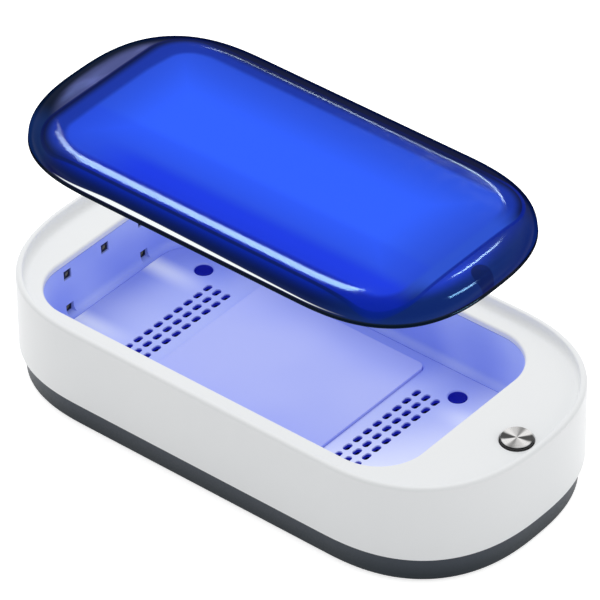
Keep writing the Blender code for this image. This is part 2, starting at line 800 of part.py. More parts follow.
def build_switch(body_finish, plunger_finish):
    bottom = button_board_top + gap
    top = bottom + switch_height
    half = switch_size / 2
    body = plate("tact_switch", button_x, 0, half, half, switch_edge, bottom, top, body_finish, switch_edge)
    bore = [(plunger_radius + gap, top + plunger_rise - plunger_length - button_travel - gap),
            (plunger_radius + gap, top + overrun)]
    combine(body, turned("plunger_bore_cut", [(button_x, 0)], bore, body_finish, small_sides), "DIFFERENCE")
    plunger_top = top + plunger_rise
    profile = [(plunger_radius, plunger_top - plunger_length), (plunger_radius, plunger_top)]
    plunger = turned("switch_plunger", [(button_x, 0)], profile, plunger_finish, small_sides)
    return plunger, plunger_top


def build_button(plunger_top, body_finish, cap_finish):
    flange_top = deck_underside - gap
    flange_bottom = flange_top - button_flange_thickness
    flange_radius = button_radius + button_flange
    top = deck_height + button_proud
    profile = [(button_stem_radius, plunger_top + gap), (button_stem_radius, flange_bottom),
               (flange_radius, flange_bottom), (flange_radius, flange_top), (button_radius, flange_top),
               (button_radius, top - button_edge), (button_radius - button_edge, top)]
    body = turned("button_body", [(button_x, 0)], profile, body_finish, 2 * small_sides)
    low = top + gap
    high = low + cap_thickness
    disc = [(cap_radius - cap_edge, low), (cap_radius, low + cap_edge), (cap_radius, high - cap_edge),
            (cap_radius - cap_edge, high), (cap_rim_share * cap_radius, high),
            (cap_rim_share * cap_radius / 2, high - cap_dish)]
    cap = turned("button_cap", [(button_x, 0)], disc, cap_finish, 2 * small_sides)
    return body, cap


def build_lid_sensor(finish):
    left = button_board_left + sensor_margin
    low = (left, -sensor_width / 2, button_board_top + gap)
    high = (left + sensor_length, sensor_width / 2, button_board_top + gap + sensor_height)
    blocks("lid_sensor", [(low, high)], finish)


def screw_profile(head_low, tip, radius, head_radius, head_height):
    # Pairs from the head's outer face to the tip, whichever way the screw points.
    way = 1 if tip > head_low else -1
    seat = head_low + way * head_height
    return [(head_radius, head_low), (head_radius, seat), (radius, seat), (radius, tip - way * radius),
            (radius / 3, tip)]


def build_screws(finish):
    corners = corner_places(0, boss_reach_x, boss_reach_y)
    head_low = head_seat - gap - screw_head_height
    profile = screw_profile(head_low, boss_bottom + housing_screw_bite, screw_radius,
                            screw_head_radius, screw_head_height)
    turned_each("housing_screw", corner_words, corners, profile, finish, small_sides)

    head_top = cup_seat + gap + screw_head_height
    profile = screw_profile(head_top, floor_post_top - floor_screw_bite, screw_radius,
                            screw_head_radius, screw_head_height)
    wells = corner_places(well_x, well_reach_x, well_reach_y)
    turned_each("floor_screw", corner_words, wells, profile, finish, small_sides)

    head_top = charger_board_top + gap + small_head_height
    profile = screw_profile(head_top, pan_floor_top - small_screw_bite / 3, small_screw_radius,
                            small_head_radius, small_head_height)
    turned_each("charger_board_screw", corner_words, charger_screw_places(), profile, finish, small_sides)

    head_low = button_board_bottom - gap - small_head_height
    profile = screw_profile(head_low, button_board_top + gap + small_screw_bite, small_screw_radius,
                            small_head_radius, small_head_height)
    turned_each("button_board_screw", ("front", "back"), button_board_places(), profile, finish, small_sides)


def build_lid(shell_finish, magnet_finish):
    # The section starts in the middle of the ceiling, runs out and down inside the wall, and
    # comes back up outside it, over the shoulder to the middle of the crown.
    run = lid_half_width - lid_shoulder
    shoulder_top = lid_edge_height + lid_shoulder
    crown = [(lid_shoulder + share * run, shoulder_top + lid_crown * (1 - (1 - share) ** 2))
             for share in crown_shares]
    inner = [(crown[-1][0], crown[-1][1] - lid_wall)]
    inner += arc(lid_shoulder, lid_edge_height, lid_shoulder - lid_wall, 90, 180, 4)
    inner.append((lid_wall, 0))
    outer = [(lid_edge_break, 0), (0, lid_edge_break)]
    outer += arc(lid_shoulder, lid_edge_height, lid_shoulder, 180, 90, 5)
    rings = [lid_ring(inset, height) for inset, height in inner + outer + crown]
    shell = lofted("lid_shell", rings, shell_finish)

    section = ((skirt_clearance, lid_bottom - skirt_drop), (skirt_clearance, lid_rib_top),
               (skirt_clearance + skirt_thickness, lid_rib_top),
               (skirt_clearance + skirt_thickness, lid_bottom - skirt_drop))
    rings = []
    for inset, height in section:
        radius = skirt_corner_radius - inset
        outline = rounded_outline(mouth_x, mouth_half_length - inset, mouth_half_width - inset,
                                  radius, radius, 2, corner_steps)
        rings.append(lift(outline, height))
    combine(shell, lofted("lid_skirt_form", rings, shell_finish, closed=True), "UNION")

    boss = [(magnet_boss_radius, magnet_boss_bottom), (magnet_boss_radius, lid_rib_top)]
    combine(shell, turned("magnet_boss_form", [(magnet_x, 0)], boss, shell_finish, small_sides), "UNION")
    bore = [(magnet_radius + gap, magnet_boss_bottom - overrun),
            (magnet_radius + gap, magnet_boss_bottom + magnet_thickness + 2 * gap)]
    combine(shell, turned("magnet_bore_cut", [(magnet_x, 0)], bore, shell_finish, small_sides), "DIFFERENCE")
    magnet_bottom = magnet_boss_bottom + gap
    disc = [(magnet_radius, magnet_bottom), (magnet_radius, magnet_bottom + magnet_thickness)]
    magnet = turned("lid_magnet", [(magnet_x, 0)], disc, magnet_finish)
    return shell, magnet


def smooth_route(points, spacing):
    # Points at about the given spacing on a smooth curve through the route's own points.
    ends = [points[0] * 2 - points[1]] + points + [points[-1] * 2 - points[-2]]
    route = [points[0]]
    for before, start, end, after in zip(ends, ends[1:], ends[2:], ends[3:]):
        pieces = max(1, round((end - start).length / spacing))
        for piece in range(1, pieces + 1):
            t = piece / pieces
            bend = (before * -1 + start * 3 - end * 3 + after) * t ** 3
            sweep = (before * 2 - start * 5 + end * 4 - after) * t ** 2
            route.append((start * 2 + (end - before) * t + sweep + bend) / 2)
    return route


def build_lead(name, points, finish):
    route = smooth_route([Vector(point) for point in points], 2 * lead_step_diameters * lead_radius)
    curve = bpy.data.curves.new(name, "CURVE")
    curve.dimensions = "3D"
    curve.bevel_depth = lead_radius
    curve.bevel_resolution = 2
    curve.use_fill_caps = True
    spline = curve.splines.new("POLY")
    spline.points.add(len(route) - 1)
    for target, point in zip(spline.points, route):
        target.co = (*point, 1)
    curve.materials.append(finish)
    bpy.context.scene.collection.objects.link(bpy.data.objects.new(name, curve))


def build_leads(finish):
    run_z = pan_floor_top + lead_floor_clear + lead_radius
    board_middle = (charger_board_bottom + charger_board_top) / 2
    board_edge = charger_board_reach + gap
    start_z = deck_underside - lead_start_drop
    for side, name in ((-1, "led_cable_left"), (1, "led_cable_right")):
        start_x = mouth_x + side * (lamp_face_reach + board_thickness + gap)
        out_x = start_x + side * lead_bow
        points = [(start_x, 0, start_z), (start_x + side * lead_bow / 2, 0, start_z - lead_radius),
                  (out_x, 0, start_z - lead_bow), (out_x, 0, run_z + 2 * lead_bow),
                  (start_x, 0, run_z + lead_bow / 3), (start_x - side * 2 * lead_bow, 0, run_z),
                  (pattern_x + side * (board_edge + 2 * lead_bow), 0, run_z),
                  (pattern_x + side * (board_edge + lead_bow / 2), 0, board_middle),
                  (pattern_x + side * board_edge, 0, board_middle)]
        build_lead(name, points, finish)
    x = board_post_x
    y = -lead_spacing
    points = [(x, y, button_board_bottom - gap), (x, y, button_board_bottom - lead_bow),
              (x, y, run_z + 2 * lead_bow), (x - lead_bow, y, run_z + lead_bow / 3),
              (x - 3 * lead_bow, y, run_z), (pattern_x + board_edge + 2 * lead_bow, y, run_z),
              (pattern_x + board_edge + lead_bow / 2, y, board_middle),
              (pattern_x + board_edge, y, board_middle)]
    build_lead("button_cable", points, finish)


def main():
    clear_scene()
    finish = {name: make_finish(name) for name in finishes}
    build_upper_housing(finish["white_shell"])
    build_base_pan(finish["slate_shell"])
    build_feet(finish["foot_rubber"])
    build_chamber_liner(finish["chamber_plastic"])
    build_floor_panel(finish["chamber_plastic"])
    build_well_plugs(finish["plug_rubber"])
    build_charging_pad(finish["pad_plastic"])
    build_charging_coil(finish["copper"])
    build_coil_support(finish["dark_plastic"], finish["ferrite"])
    build_charger_board(finish["board_green"])
    build_power_socket(finish["steel"])
    build_lamps(finish["board_green"], finish["lamp_chip"])
    build_button_board(finish["board_green"])
    plunger, plunger_top = build_switch(finish["dark_plastic"], finish["dark_plastic"])
    body, cap = build_button(plunger_top, finish["dark_plastic"], finish["spun_metal"])
    move_together("button_axis", (button_x, 0, deck_height), (body, cap, plunger))
    build_lid_sensor(finish["dark_plastic"])
    build_screws(finish["steel"])
    shell, magnet = build_lid(finish["blue_lid"], finish["steel"])
    move_together("lid_axis", (mouth_x, 0, lid_bottom), (shell, magnet))
    build_leads(finish["lead_sleeve"])


main()
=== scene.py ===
import json
import math

import bmesh
import bpy
from mathutils import Matrix, Vector


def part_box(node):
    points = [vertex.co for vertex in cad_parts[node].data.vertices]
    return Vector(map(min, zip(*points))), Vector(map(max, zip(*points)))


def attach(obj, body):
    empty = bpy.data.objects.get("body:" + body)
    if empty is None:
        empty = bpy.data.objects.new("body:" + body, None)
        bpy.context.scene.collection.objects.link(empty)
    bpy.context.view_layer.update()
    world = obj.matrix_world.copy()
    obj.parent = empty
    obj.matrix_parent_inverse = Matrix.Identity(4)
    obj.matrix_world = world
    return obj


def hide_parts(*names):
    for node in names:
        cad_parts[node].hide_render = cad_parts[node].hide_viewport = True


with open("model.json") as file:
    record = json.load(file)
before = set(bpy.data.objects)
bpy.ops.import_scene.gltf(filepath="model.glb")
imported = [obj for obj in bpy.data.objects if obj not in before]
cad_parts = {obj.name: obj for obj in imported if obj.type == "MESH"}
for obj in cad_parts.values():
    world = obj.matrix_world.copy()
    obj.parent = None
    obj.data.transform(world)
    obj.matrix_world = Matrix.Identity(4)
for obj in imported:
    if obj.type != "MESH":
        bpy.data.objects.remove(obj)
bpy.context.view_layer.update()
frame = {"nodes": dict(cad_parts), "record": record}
print("frame loaded:", len(frame["nodes"]), "nodes")

# Everything is in metres, in the model's frame. A section is a list of pairs: how far in from
# the outline, and the height.
quarterSteps = 40       # points round each quarter of an outline
roundSides = 64         # sides of the larger turned pieces
screwSides = 24         # sides of screw holes and of the posts round them
weld = 2e-6             # vertices nearer than this are joined
overrun = 0.002         # how far a cutter runs past a face
play = 0.0003           # gap between neighbours
sharpTurn = math.radians(38)    # edges that turn more than this stay sharp
plainGloss = 0.5        # a moulding's shine where its look names none
noiseSpan = (0.3, 0.7)  # where most values of a noise lie
cornerWords = ("front_left", "back_left", "front_right", "back_right")


def middleOf(node):
    low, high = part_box(node)
    return (low + high) / 2


def halfOf(node):
    low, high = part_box(node)
    return (high - low) / 2


def bottomOf(node):
    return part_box(node)[0].z


def topOf(node):
    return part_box(node)[1].z


def cornersOf(kind):
    return [middleOf(kind + "_" + word) for word in cornerWords]


def arcSection(inset, height, radius, start, end, steps):
    # an arc in a wall's section, angles in degrees
    turns = [math.radians(start + (end - start) * step / steps) for step in range(steps + 1)]
    return [(inset + radius * math.cos(turn), height + radius * math.sin(turn)) for turn in turns]


def makeOutline(centreX, halfX, halfY, reachX, reachY, power):
    return {"centreX": centreX, "half": (halfX, halfY), "reach": (reachX, reachY), "power": power}


def ringsOn(outline, section, low=0):
    return [(outline, inset, low + height) for inset, height in section]


def placeRing(form, verts, outline, inset, height):
    # each vertex remembers its quarter and its turn in it, so any ring can be put on any outline
    quarterOf = form.verts.layers.int["quarter"]
    turnOf = form.verts.layers.float["turn"]
    for vert in verts:
        angle = vert[turnOf] * math.pi / 2
        shares = (max(math.cos(angle), 0), max(math.sin(angle), 0))
        spot = []
        for half, reach, share in zip(outline["half"], outline["reach"], shares):
            spot.append(half - inset - max(reach - inset, 0) * (1 - share ** (2 / outline["power"])))
        signX = 1 if vert[quarterOf] in (0, 3) else -1
        signY = 1 if vert[quarterOf] < 2 else -1
        vert.co = (outline["centreX"] + signX * spot[0], signY * spot[1], height)


def loftRings(rings, closed=False):
    # rings are (outline, inset, height); each one is extruded from the one before
    form = bmesh.new()
    quarterOf = form.verts.layers.int.new("quarter")
    turnOf = form.verts.layers.float.new("turn")
    verts = bmesh.ops.create_circle(form, segments=4 * (quarterSteps + 1), radius=1)["verts"]
    for index, vert in enumerate(verts):
        quarter, step = divmod(index, quarterSteps + 1)
        vert[quarterOf] = quarter
        vert[turnOf] = (quarterSteps - step if quarter % 2 else step) / quarterSteps
    edges = list(form.edges)
    firstEdges = edges
    placeRing(form, verts, *rings[0])
    for ring in rings[1:] + rings[:1] * closed:
        grown = bmesh.ops.extrude_edge_only(form, edges=edges)["geom"]
        verts = [item for item in grown if isinstance(item, bmesh.types.BMVert)]
        edges = [item for item in grown if isinstance(item, bmesh.types.BMEdge)]
        placeRing(form, verts, *ring)
    if not closed:
        bmesh.ops.edgeloop_fill(form, edges=firstEdges)
        bmesh.ops.edgeloop_fill(form, edges=edges)
    bmesh.ops.remove_doubles(form, verts=form.verts, dist=weld)
    return form


def turnInto(form, centre, profile, sides):
    # spins pairs of radius and height about the vertical through centre
    line = [form.verts.new((centre[0] + radius, centre[1], height)) for radius, height in profile]
    edges = [form.edges.new(pair) for pair in zip(line, line[1:])]
    bmesh.ops.spin(form, geom=line + edges, cent=(centre[0], centre[1], 0), axis=(0, 0, 1),
                   angle=2 * math.pi, steps=sides, use_merge=True)


def turnPiece(places, profile, sides=roundSides):
    form = bmesh.new()
    for place in places:
        turnInto(form, place, profile, sides)
    bmesh.ops.remove_doubles(form, verts=form.verts, dist=weld)
    bmesh.ops.holes_fill(form, edges=form.edges, sides=sides)
    return form


def rods(places, radius, low, high, sides=screwSides):
    # an upright cylinder at each place
    return turnPiece(places, [(radius, low), (radius, high)], sides)


def boxInto(form, low, high):
    size = [b - a for a, b in zip(low, high)]
    middle = [(a + b) / 2 for a, b in zip(low, high)]
    place = Matrix.Translation(middle) @ Matrix.Diagonal((*size, 1))
    return bmesh.ops.create_cube(form, size=1, matrix=place)["verts"]


def smoothPiece(item):
    item.data.shade_smooth()
    item.data.set_sharp_from_angle(angle=sharpTurn)


def toObject(name, form, material=None):
    bmesh.ops.recalc_face_normals(form, faces=form.faces)
    if form.calc_volume(signed=True) < 0:
        bmesh.ops.reverse_faces(form, faces=form.faces)
    mesh = bpy.data.meshes.new(name)
    form.to_mesh(mesh)
    form.free()
    item = bpy.data.objects.new(name, mesh)
    bpy.context.scene.collection.objects.link(item)
    if material:
        mesh.materials.append(material)
    smoothPiece(item)
    return item


def applySteps(item):
    bpy.context.view_layer.update()
    whole = item.evaluated_get(bpy.context.evaluated_depsgraph_get())
    mesh = bpy.data.meshes.new_from_object(whole)
    item.modifiers.clear()
    item.data = mesh
    smoothPiece(item)


def carve(item, form, operation="DIFFERENCE"):
    tool = toObject(item.name + "Tool", form)
    step = item.modifiers.new(operation.lower(), "BOOLEAN")
    step.operation = operation
    step.solver = "EXACT"
    step.object = tool
    applySteps(item)
    bpy.data.objects.remove(tool)


def seat(item, body, slot, *nodes):
    # even shading across flat faces, then the piece takes its place on its body
    step = item.modifiers.new("evenNormals", "WEIGHTED_NORMAL")
    step.keep_sharp = True
    step.weight = 60
    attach(item, body)
    if nodes:
        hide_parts(*nodes)


# Materials
def addNode(tree, kind, inputs=None, **settings):
    node = tree.nodes.new(kind)
    for key, value in settings.items():
        setattr(node, key, value)
    for key, value in (inputs or {}).items():
        if isinstance(value, bpy.types.NodeSocket):
            tree.links.new(value, node.inputs[key])
        else:
            node.inputs[key].default_value = value
    return node


def startMaterial(name, **sockets):
    material = bpy.data.materials.new(name)
    material.use_nodes = True
    tree = material.node_tree
    shader = tree.nodes["Principled BSDF"]
    for key, value in sockets.items():
        shader.inputs[key].default_value = value
    coords = addNode(tree, "ShaderNodeTexCoord").outputs["Object"]
    return material, tree, shader, coords


def calc(tree, operation, first, second=0.0, clamp=False):
    node = addNode(tree, "ShaderNodeMath", {0: first, 1: second}, operation=operation, use_clamp=clamp)
    return node.outputs["Value"]


def product(tree, first, *others):
    for other in others:
        first = calc(tree, "MULTIPLY", first, other)
    return first


def ramp(tree, value, low, high, start=0.0, end=1.0):
    # start to end as the value goes from low to high, eased at both ends
    node = addNode(tree, "ShaderNodeMapRange",
                   {"Value": value, "From Min": low, "From Max": high, "To Min": start, "To Max": end},
                   interpolation_type="SMOOTHSTEP")
    return node.outputs["Result"]


def blendColours(tree, share, first, second):
    node = addNode(tree, "ShaderNodeMix", data_type="RGBA")
    for socket, value in ((0, share), (6, first), (7, second)):
        if isinstance(value, bpy.types.NodeSocket):
            tree.links.new(value, node.inputs[socket])
        else:
            node.inputs[socket].default_value = value if socket == 0 else (*value[:3], 1)
    return node.outputs[2]


def noise(tree, coords, size, detail=2.0):
    node = addNode(tree, "ShaderNodeTexNoise", {"Vector": coords, "Scale": 1 / size, "Detail": detail})
    return node.outputs["Fac"]


def speckle(tree, shader, coords, look, detail=2.0):
    # two near tones mixed by a small noise
    speck = noise(tree, coords, look["size"], detail)
    tree.links.new(blendColours(tree, speck, look["colour"], look["other"]), shader.inputs["Base Color"])
    return speck


def grainSurface(tree, shader, coords, look):
    # the fine grain of a moulding, in its roughness and its surface
    grain = noise(tree, coords, look["grainSize"])
    rough = ramp(tree, grain, *noiseSpan, look["roughness"] - look["spread"],
                 look["roughness"] + look["spread"])
    tree.links.new(rough, shader.inputs["Roughness"])
    bump = addNode(tree, "ShaderNodeBump", {"Height": grain, "Strength": look["relief"],
                                            "Distance": look["grainDepth"]})
    tree.links.new(bump.outputs["Normal"], shader.inputs["Normal"])


def mouldedPlastic(name, look):
    material, tree, shader, coords = startMaterial(name)
    grainSurface(tree, shader, coords, look)
    drift = ramp(tree, noise(tree, coords, look["driftSize"], detail=3.0), *noiseSpan)
    tone = blendColours(tree, drift, look["colour"], look["driftColour"])
    if "low" in look:
        # painted shade: darker towards the table
        height = addNode(tree, "ShaderNodeSeparateXYZ", {0: coords}).outputs["Z"]
        tone = blendColours(tree, ramp(tree, height, panBottom, seamHeight), look["low"], tone)
    tree.links.new(tone, shader.inputs["Base Color"])
    shader.inputs["Specular IOR Level"].default_value = look.get("gloss", plainGloss)
    return material


# Outlines that the pieces share
shellShape = {"endReach": 0.0531, "power": 2.43, "seam": 0.0119}
mouthShape = {"corner": 0.0185, "flange": 0.0035}
lidShape = {"endReach": 0.0490, "power": 2.65}

shellHalf = halfOf("upper_housing")
shellOutline = makeOutline(0, shellHalf.x, shellHalf.y, shellShape["endReach"], shellHalf.y,
                           shellShape["power"])
linerHalf = halfOf("chamber_liner")
mouthX = middleOf("chamber_liner").x
mouthHalf = (linerHalf.x - mouthShape["flange"], linerHalf.y - mouthShape["flange"])
mouthOutline = makeOutline(mouthX, *mouthHalf, mouthShape["corner"], mouthShape["corner"], 2)
lidHalf = halfOf("lid_shell")
lidOutline = makeOutline(mouthX, lidHalf.x, lidHalf.y, lidShape["endReach"], lidHalf.y, lidShape["power"])

rimTop = topOf("upper_housing")
seamHeight = shellShape["seam"]
panBottom = bottomOf("base_pan")
floorTop = topOf("floor_panel")
linerTop = topOf("chamber_liner")
buttonX = middleOf("button_cap").x


# Upper housing
housingLook = {
    "wall": 0.0023, "deckDrop": 0.0039, "deckThickness": 0.0022, "rimRound": 0.0013,
    "rimInnerRound": 0.0006, "cove": 0.0024, "mouthRound": 0.0010, "seamRound": 0.0005,
    "buttonHole": 0.0061, "buttonEdge": 0.0003, "bossRadius": 0.0032, "bossPlaces": (0.0966, 0.0218),
    "bossSink": 0.0005, "holeRadius": 0.00155, "holeDepth": 0.0083, "postRadius": 0.0025,
    "postHole": 0.0012, "postHoleSides": 20, "postDepth": 0.0033,
    "colour": (0.860, 0.875, 0.885), "driftColour": (0.845, 0.862, 0.875), "driftSize": 0.060,
    "roughness": 0.36, "spread": 0.03, "grainSize": 0.0009, "grainDepth": 0.00002, "relief": 0.25,
}
deckTop = rimTop - housingLook["deckDrop"]


def makeHousing(look):
    material = mouldedPlastic("satinWhiteShell", look)
    wall, foot, rim, inner = look["wall"], look["seamRound"], look["rimRound"], look["rimInnerRound"]
    cove, lip = look["cove"], look["mouthRound"]
    deckUnder = deckTop - look["deckThickness"]
    section = arcSection(foot, seamHeight + foot, foot, 270, 180, steps=3)
    section += arcSection(rim, rimTop - rim, rim, 180, 90, steps=8)
    section += arcSection(wall - inner, rimTop - inner, inner, 90, 0, steps=5)
    section += arcSection(wall + cove, deckTop + cove, cove, 180, 270, steps=8)
    rings = ringsOn(shellOutline, section)
    rings += [(mouthOutline, -inset, height)
              for inset, height in arcSection(lip, deckTop - lip, lip, 90, 180, steps=6)]
    rings.append((mouthOutline, 0, deckUnder))
    rings += ringsOn(shellOutline, [(wall, deckUnder), (wall, seamHeight)])
    housing = toObject("whiteHousing", loftRings(rings, closed=True), material)

    bossX, bossY = look["bossPlaces"]
    bosses = [(x, y) for x in (-bossX, bossX) for y in (-bossY, bossY)]
    bossLow = bottomOf("upper_housing")
    sunk = deckUnder + look["bossSink"]
    carve(housing, rods(bosses, look["bossRadius"], bossLow, sunk), "UNION")
    carve(housing, rods(bosses, look["holeRadius"], bossLow - overrun, bossLow + look["holeDepth"]))
    posts = [middleOf("button_board_screw_" + word) for word in ("front", "back")]
    postLow = topOf("button_board") + play
    carve(housing, rods(posts, look["postRadius"], postLow, sunk), "UNION")
    carve(housing, rods(posts, look["postHole"], postLow - overrun, postLow + look["postDepth"],
                        look["postHoleSides"]))
    hole, edge = look["buttonHole"], look["buttonEdge"]
    carve(housing, turnPiece([(buttonX, 0)], [(hole, deckUnder - overrun), (hole, deckTop - edge),
                                              (hole + edge, deckTop), (hole + edge, deckTop + overrun)]))
    seat(housing, "base", "white_shell", "upper_housing")


# Base pan
panLook = {
    "bottomInset": 0.0022, "bottomRound": 0.0014, "taperAngle": 172, "step": 0.0009, "tongueInset": 0.0026,
    "tongueThickness": 0.0015, "tongueRise": 0.0031, "fillet": 0.0010, "floor": 0.0020,
    "headHole": 0.0028, "screwHole": 0.00155, "footRecess": 0.0008, "postRadius": 0.0032,
    "postRise": 0.0025, "headWeb": 0.0020, "pilotDepth": 0.0048, "sink": 0.0005,
    "standoffRadius": 0.0022, "standoffRise": 0.0015, "standoffHole": 0.0012, "socketReach": 0.008,
    "colour": (0.052, 0.062, 0.080), "driftColour": (0.046, 0.056, 0.072), "driftSize": 0.050,
    # low: painted shade, the colour the pan darkens to towards the table
    "low": (0.014, 0.021, 0.028), "gloss": 0.16, "roughness": 0.46, "spread": 0.05,
    "grainSize": 0.0007, "grainDepth": 0.00004, "relief": 0.4,
}


def makePan(look):
    material = mouldedPlastic("slateShell", look)
    seam = seamHeight - play
    soft, fillet = look["bottomRound"], look["fillet"]
    section = arcSection(look["bottomInset"] + soft, panBottom + soft, soft, 270, look["taperAngle"], steps=6)
    step, tongue, tongueTop = look["step"] + play, look["tongueInset"], seamHeight + look["tongueRise"]
    inside = tongue + look["tongueThickness"]
    section += [(step, seam - play), (step + play, seam), (tongue, seam), (tongue, tongueTop),
                (inside, tongueTop)]
    floor = panBottom + look["floor"]
    section += arcSection(inside + fillet, floor + fillet, fillet, 180, 270, steps=4)
    pan = toObject("slatePan", loftRings(ringsOn(shellOutline, section)), material)

    corners, wells = cornersOf("housing_screw"), cornersOf("floor_screw")
    boards = cornersOf("charger_board_screw")
    postTop = floor + look["postRise"]
    wellPostTop = bottomOf("floor_panel") - play
    standoffTop = floor + look["standoffRise"]
    for places, radius, top in ((corners, look["postRadius"], postTop),
                                (wells, look["postRadius"], wellPostTop),
                                (boards, look["standoffRadius"], standoffTop)):
        carve(pan, rods(places, radius, floor - look["sink"], top), "UNION")
    for places, radius, low, high in (
            (corners, look["screwHole"], panBottom - overrun, postTop + overrun),
            (corners, look["headHole"], panBottom - overrun, postTop - look["headWeb"]),
            (wells, look["screwHole"], wellPostTop - look["pilotDepth"], wellPostTop + overrun),
            (boards, look["standoffHole"], floor - look["standoffRise"], standoffTop + overrun)):
        carve(pan, rods(places, radius, low, high))
    radius = halfOf("foot_front_left").x + play
    carve(pan, rods(cornersOf("foot"), radius, panBottom - overrun, panBottom + look["footRecess"],
                    roundSides))
    socketLow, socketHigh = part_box("power_socket")
    socketHalf = halfOf("power_socket")
    opening = bmesh.new()
    boxInto(opening, (socketLow.x - play, shellHalf.y - look["socketReach"], socketLow.z - play),
            (socketHigh.x + play, shellHalf.y + overrun, socketHigh.z + play))
    ends = [item for item in opening.edges if abs(item.verts[0].co.y - item.verts[1].co.y) > overrun]
    bmesh.ops.bevel(opening, geom=ends, offset=socketHalf.z, affect="EDGES", segments=8, profile=0.5,
                    material=-1)
    carve(pan, opening)
    seat(pan, "base", "slate_shell", "base_pan")


# Chamber: the walls, the floor and the pad share a painted lavender that stands in for the light of
# the lamps on the plastic, each with its own tone
paintedLampLightLook = {
    # painted lamp light: the tones, the deep drifts and the glow stand in for the lamps' light on the plastic
    "floorTone": (0.38, 0.44, 0.84), "floorDeep": 0.55, "wallTone": (0.42, 0.50, 0.92), "wallDeep": 0.60,
    "padTone": (0.38, 0.43, 0.84), "padDeep": 0.2, "deep": (0.11, 0.18, 0.76), "deepSpan": (0.35, 0.7),
    # lit, rightLit and streak: painted light, paler where the lamps light the floor
    "lit": (0.84, 0.88, 1.0), "slant": 1.2, "litSpan": (0.01, 0.10), "rightLit": (0.040, 0.072, 0, 0.45),
    # inside: painted shade and glow, deep blue inside the slots
    "inside": (0.006, 0.009, 0.24), "insideDrop": (0.0007, 0.0003), "insideGlow": 0.9,
    "streak": (0.82, 0.87, 1.0), "streakSide": 0.020, "streakWidth": 0.0070, "streakReach": 0.034,
    "streakShare": 0.95, "glow": 0.12, "driftSize": 0.045,
    "roughness": 0.34, "spread": 0.04, "grainSize": 0.0008, "grainDepth": 0.00002, "relief": 0.2,
}


def paintedLampLight(name, look, part):
    # painted lamp light: the lavender and its deeper blue drifts stand in for the lamps' light on the
    # moulding, which also glows a little; the floor is painted paler to the right, with pale streaks of
    # painted light in line with the lower lamps, and deep blue inside the slots, where it glows more
    material, tree, shader, coords = startMaterial(name)
    grainSurface(tree, shader, coords, look)
    drift = ramp(tree, noise(tree, coords, look["driftSize"], detail=1.0), *look["deepSpan"])
    tone = blendColours(tree, product(tree, drift, look[part + "Deep"]), look[part + "Tone"], look["deep"])
    # painted glow: the plastic glows a little though it is no lamp
    shader.inputs["Emission Strength"].default_value = look["glow"]
    if part == "floor":
        place = addNode(tree, "ShaderNodeSeparateXYZ", {0: coords}).outputs
        slant = calc(tree, "SUBTRACT", place["X"], product(tree, place["Y"], look["slant"]))
        # painted light: paler towards the front right and at the right end
        tone = blendColours(tree, ramp(tree, slant, *look["litSpan"]), tone, look["lit"])
        tone = blendColours(tree, ramp(tree, place["X"], *look["rightLit"]), tone, look["lit"])
        # painted light: pale streaks in line with the lower lamps
        side = calc(tree, "SUBTRACT", calc(tree, "ABSOLUTE", place["Y"]), look["streakSide"])
        near = ramp(tree, calc(tree, "ABSOLUTE", side), 0, look["streakWidth"], 1, 0)
        along = calc(tree, "ABSOLUTE", calc(tree, "SUBTRACT", place["X"], mouthX))
        length = ramp(tree, along, mouthHalf[0] - look["streakReach"], mouthHalf[0], 0, look["streakShare"])
        tone = blendColours(tree, product(tree, near, length), tone, look["streak"])
        # painted shade and glow: deep blue inside the slots, glowing more than the rest
        deepest, highest = look["insideDrop"]
        below = ramp(tree, place["Z"], floorTop - deepest, floorTop - highest, 1, 0)
        tone = blendColours(tree, below, tone, look["inside"])
        glow = ramp(tree, below, 0, 1, look["glow"], look["insideGlow"])
        tree.links.new(glow, shader.inputs["Emission Strength"])
    tree.links.new(tone, shader.inputs["Base Color"])
    tree.links.new(tone, shader.inputs["Emission Color"])
    return material


linerLook = {
    "draft": 0.0008, "fillet": 0.0030, "wall": 0.0015, "flangeThickness": 0.0015, "ledge": 0.0040,
    "ledgeThickness": 0.0015, "floorThickness": 0.0018, "window": 0.00195, "windowReach": 0.004,
}


def chipNames(side):
    return ["uv_led_" + side + "_" + str(number) for number in range(1, 6)]


def makeLiner(look, material):
    floorUnder = floorTop - look["floorThickness"]
    ledgeTop = floorUnder - play
    ledgeLow = ledgeTop - look["ledgeThickness"]
    flangeLow = linerTop - look["flangeThickness"]
    fillet, wall, flange = look["fillet"], look["wall"], mouthShape["flange"]
    foot = look["draft"] + fillet
    ledge = foot + look["ledge"]
    section = [(0, linerTop)]
    section += arcSection(foot, floorTop + fillet, fillet, 180, 270, steps=8)
    section += [(foot, ledgeTop), (ledge, ledgeTop), (ledge, ledgeLow), (-wall, ledgeLow),
                (-wall, flangeLow), (-flange, flangeLow), (-flange, linerTop)]
    liner = toObject("chamberWalls", loftRings(ringsOn(mouthOutline, section), closed=True), material)
    windows = bmesh.new()
    reach = Vector((look["windowReach"], look["window"], look["window"]))
    for side in ("left", "right"):
        for chip in chipNames(side):
            boxInto(windows, middleOf(chip) - reach, middleOf(chip) + reach)
    carve(liner, windows)
    seat(liner, "base", "chamber_plastic", "chamber_liner")


floorLook = {
    "panelInset": 0.0041, "thickness": 0.0018, "wellRadius": 0.0035, "wellWall": 0.0012,
    "wellRound": 0.0004, "screwHole": 0.00155, "slotLength": 0.0041, "slotWidth": 0.0025,
    "rows": 9, "columns": 3, "rowPitch": 0.0054, "columnPitch": 0.0042, "slotGroupReach": 0.0476,
    "padSeat": 0.0007, "padCorner": 0.0030, "edge": 0.0002, "cupSides": 40, "wellSides": 48,
    "slotSides": 14,
}


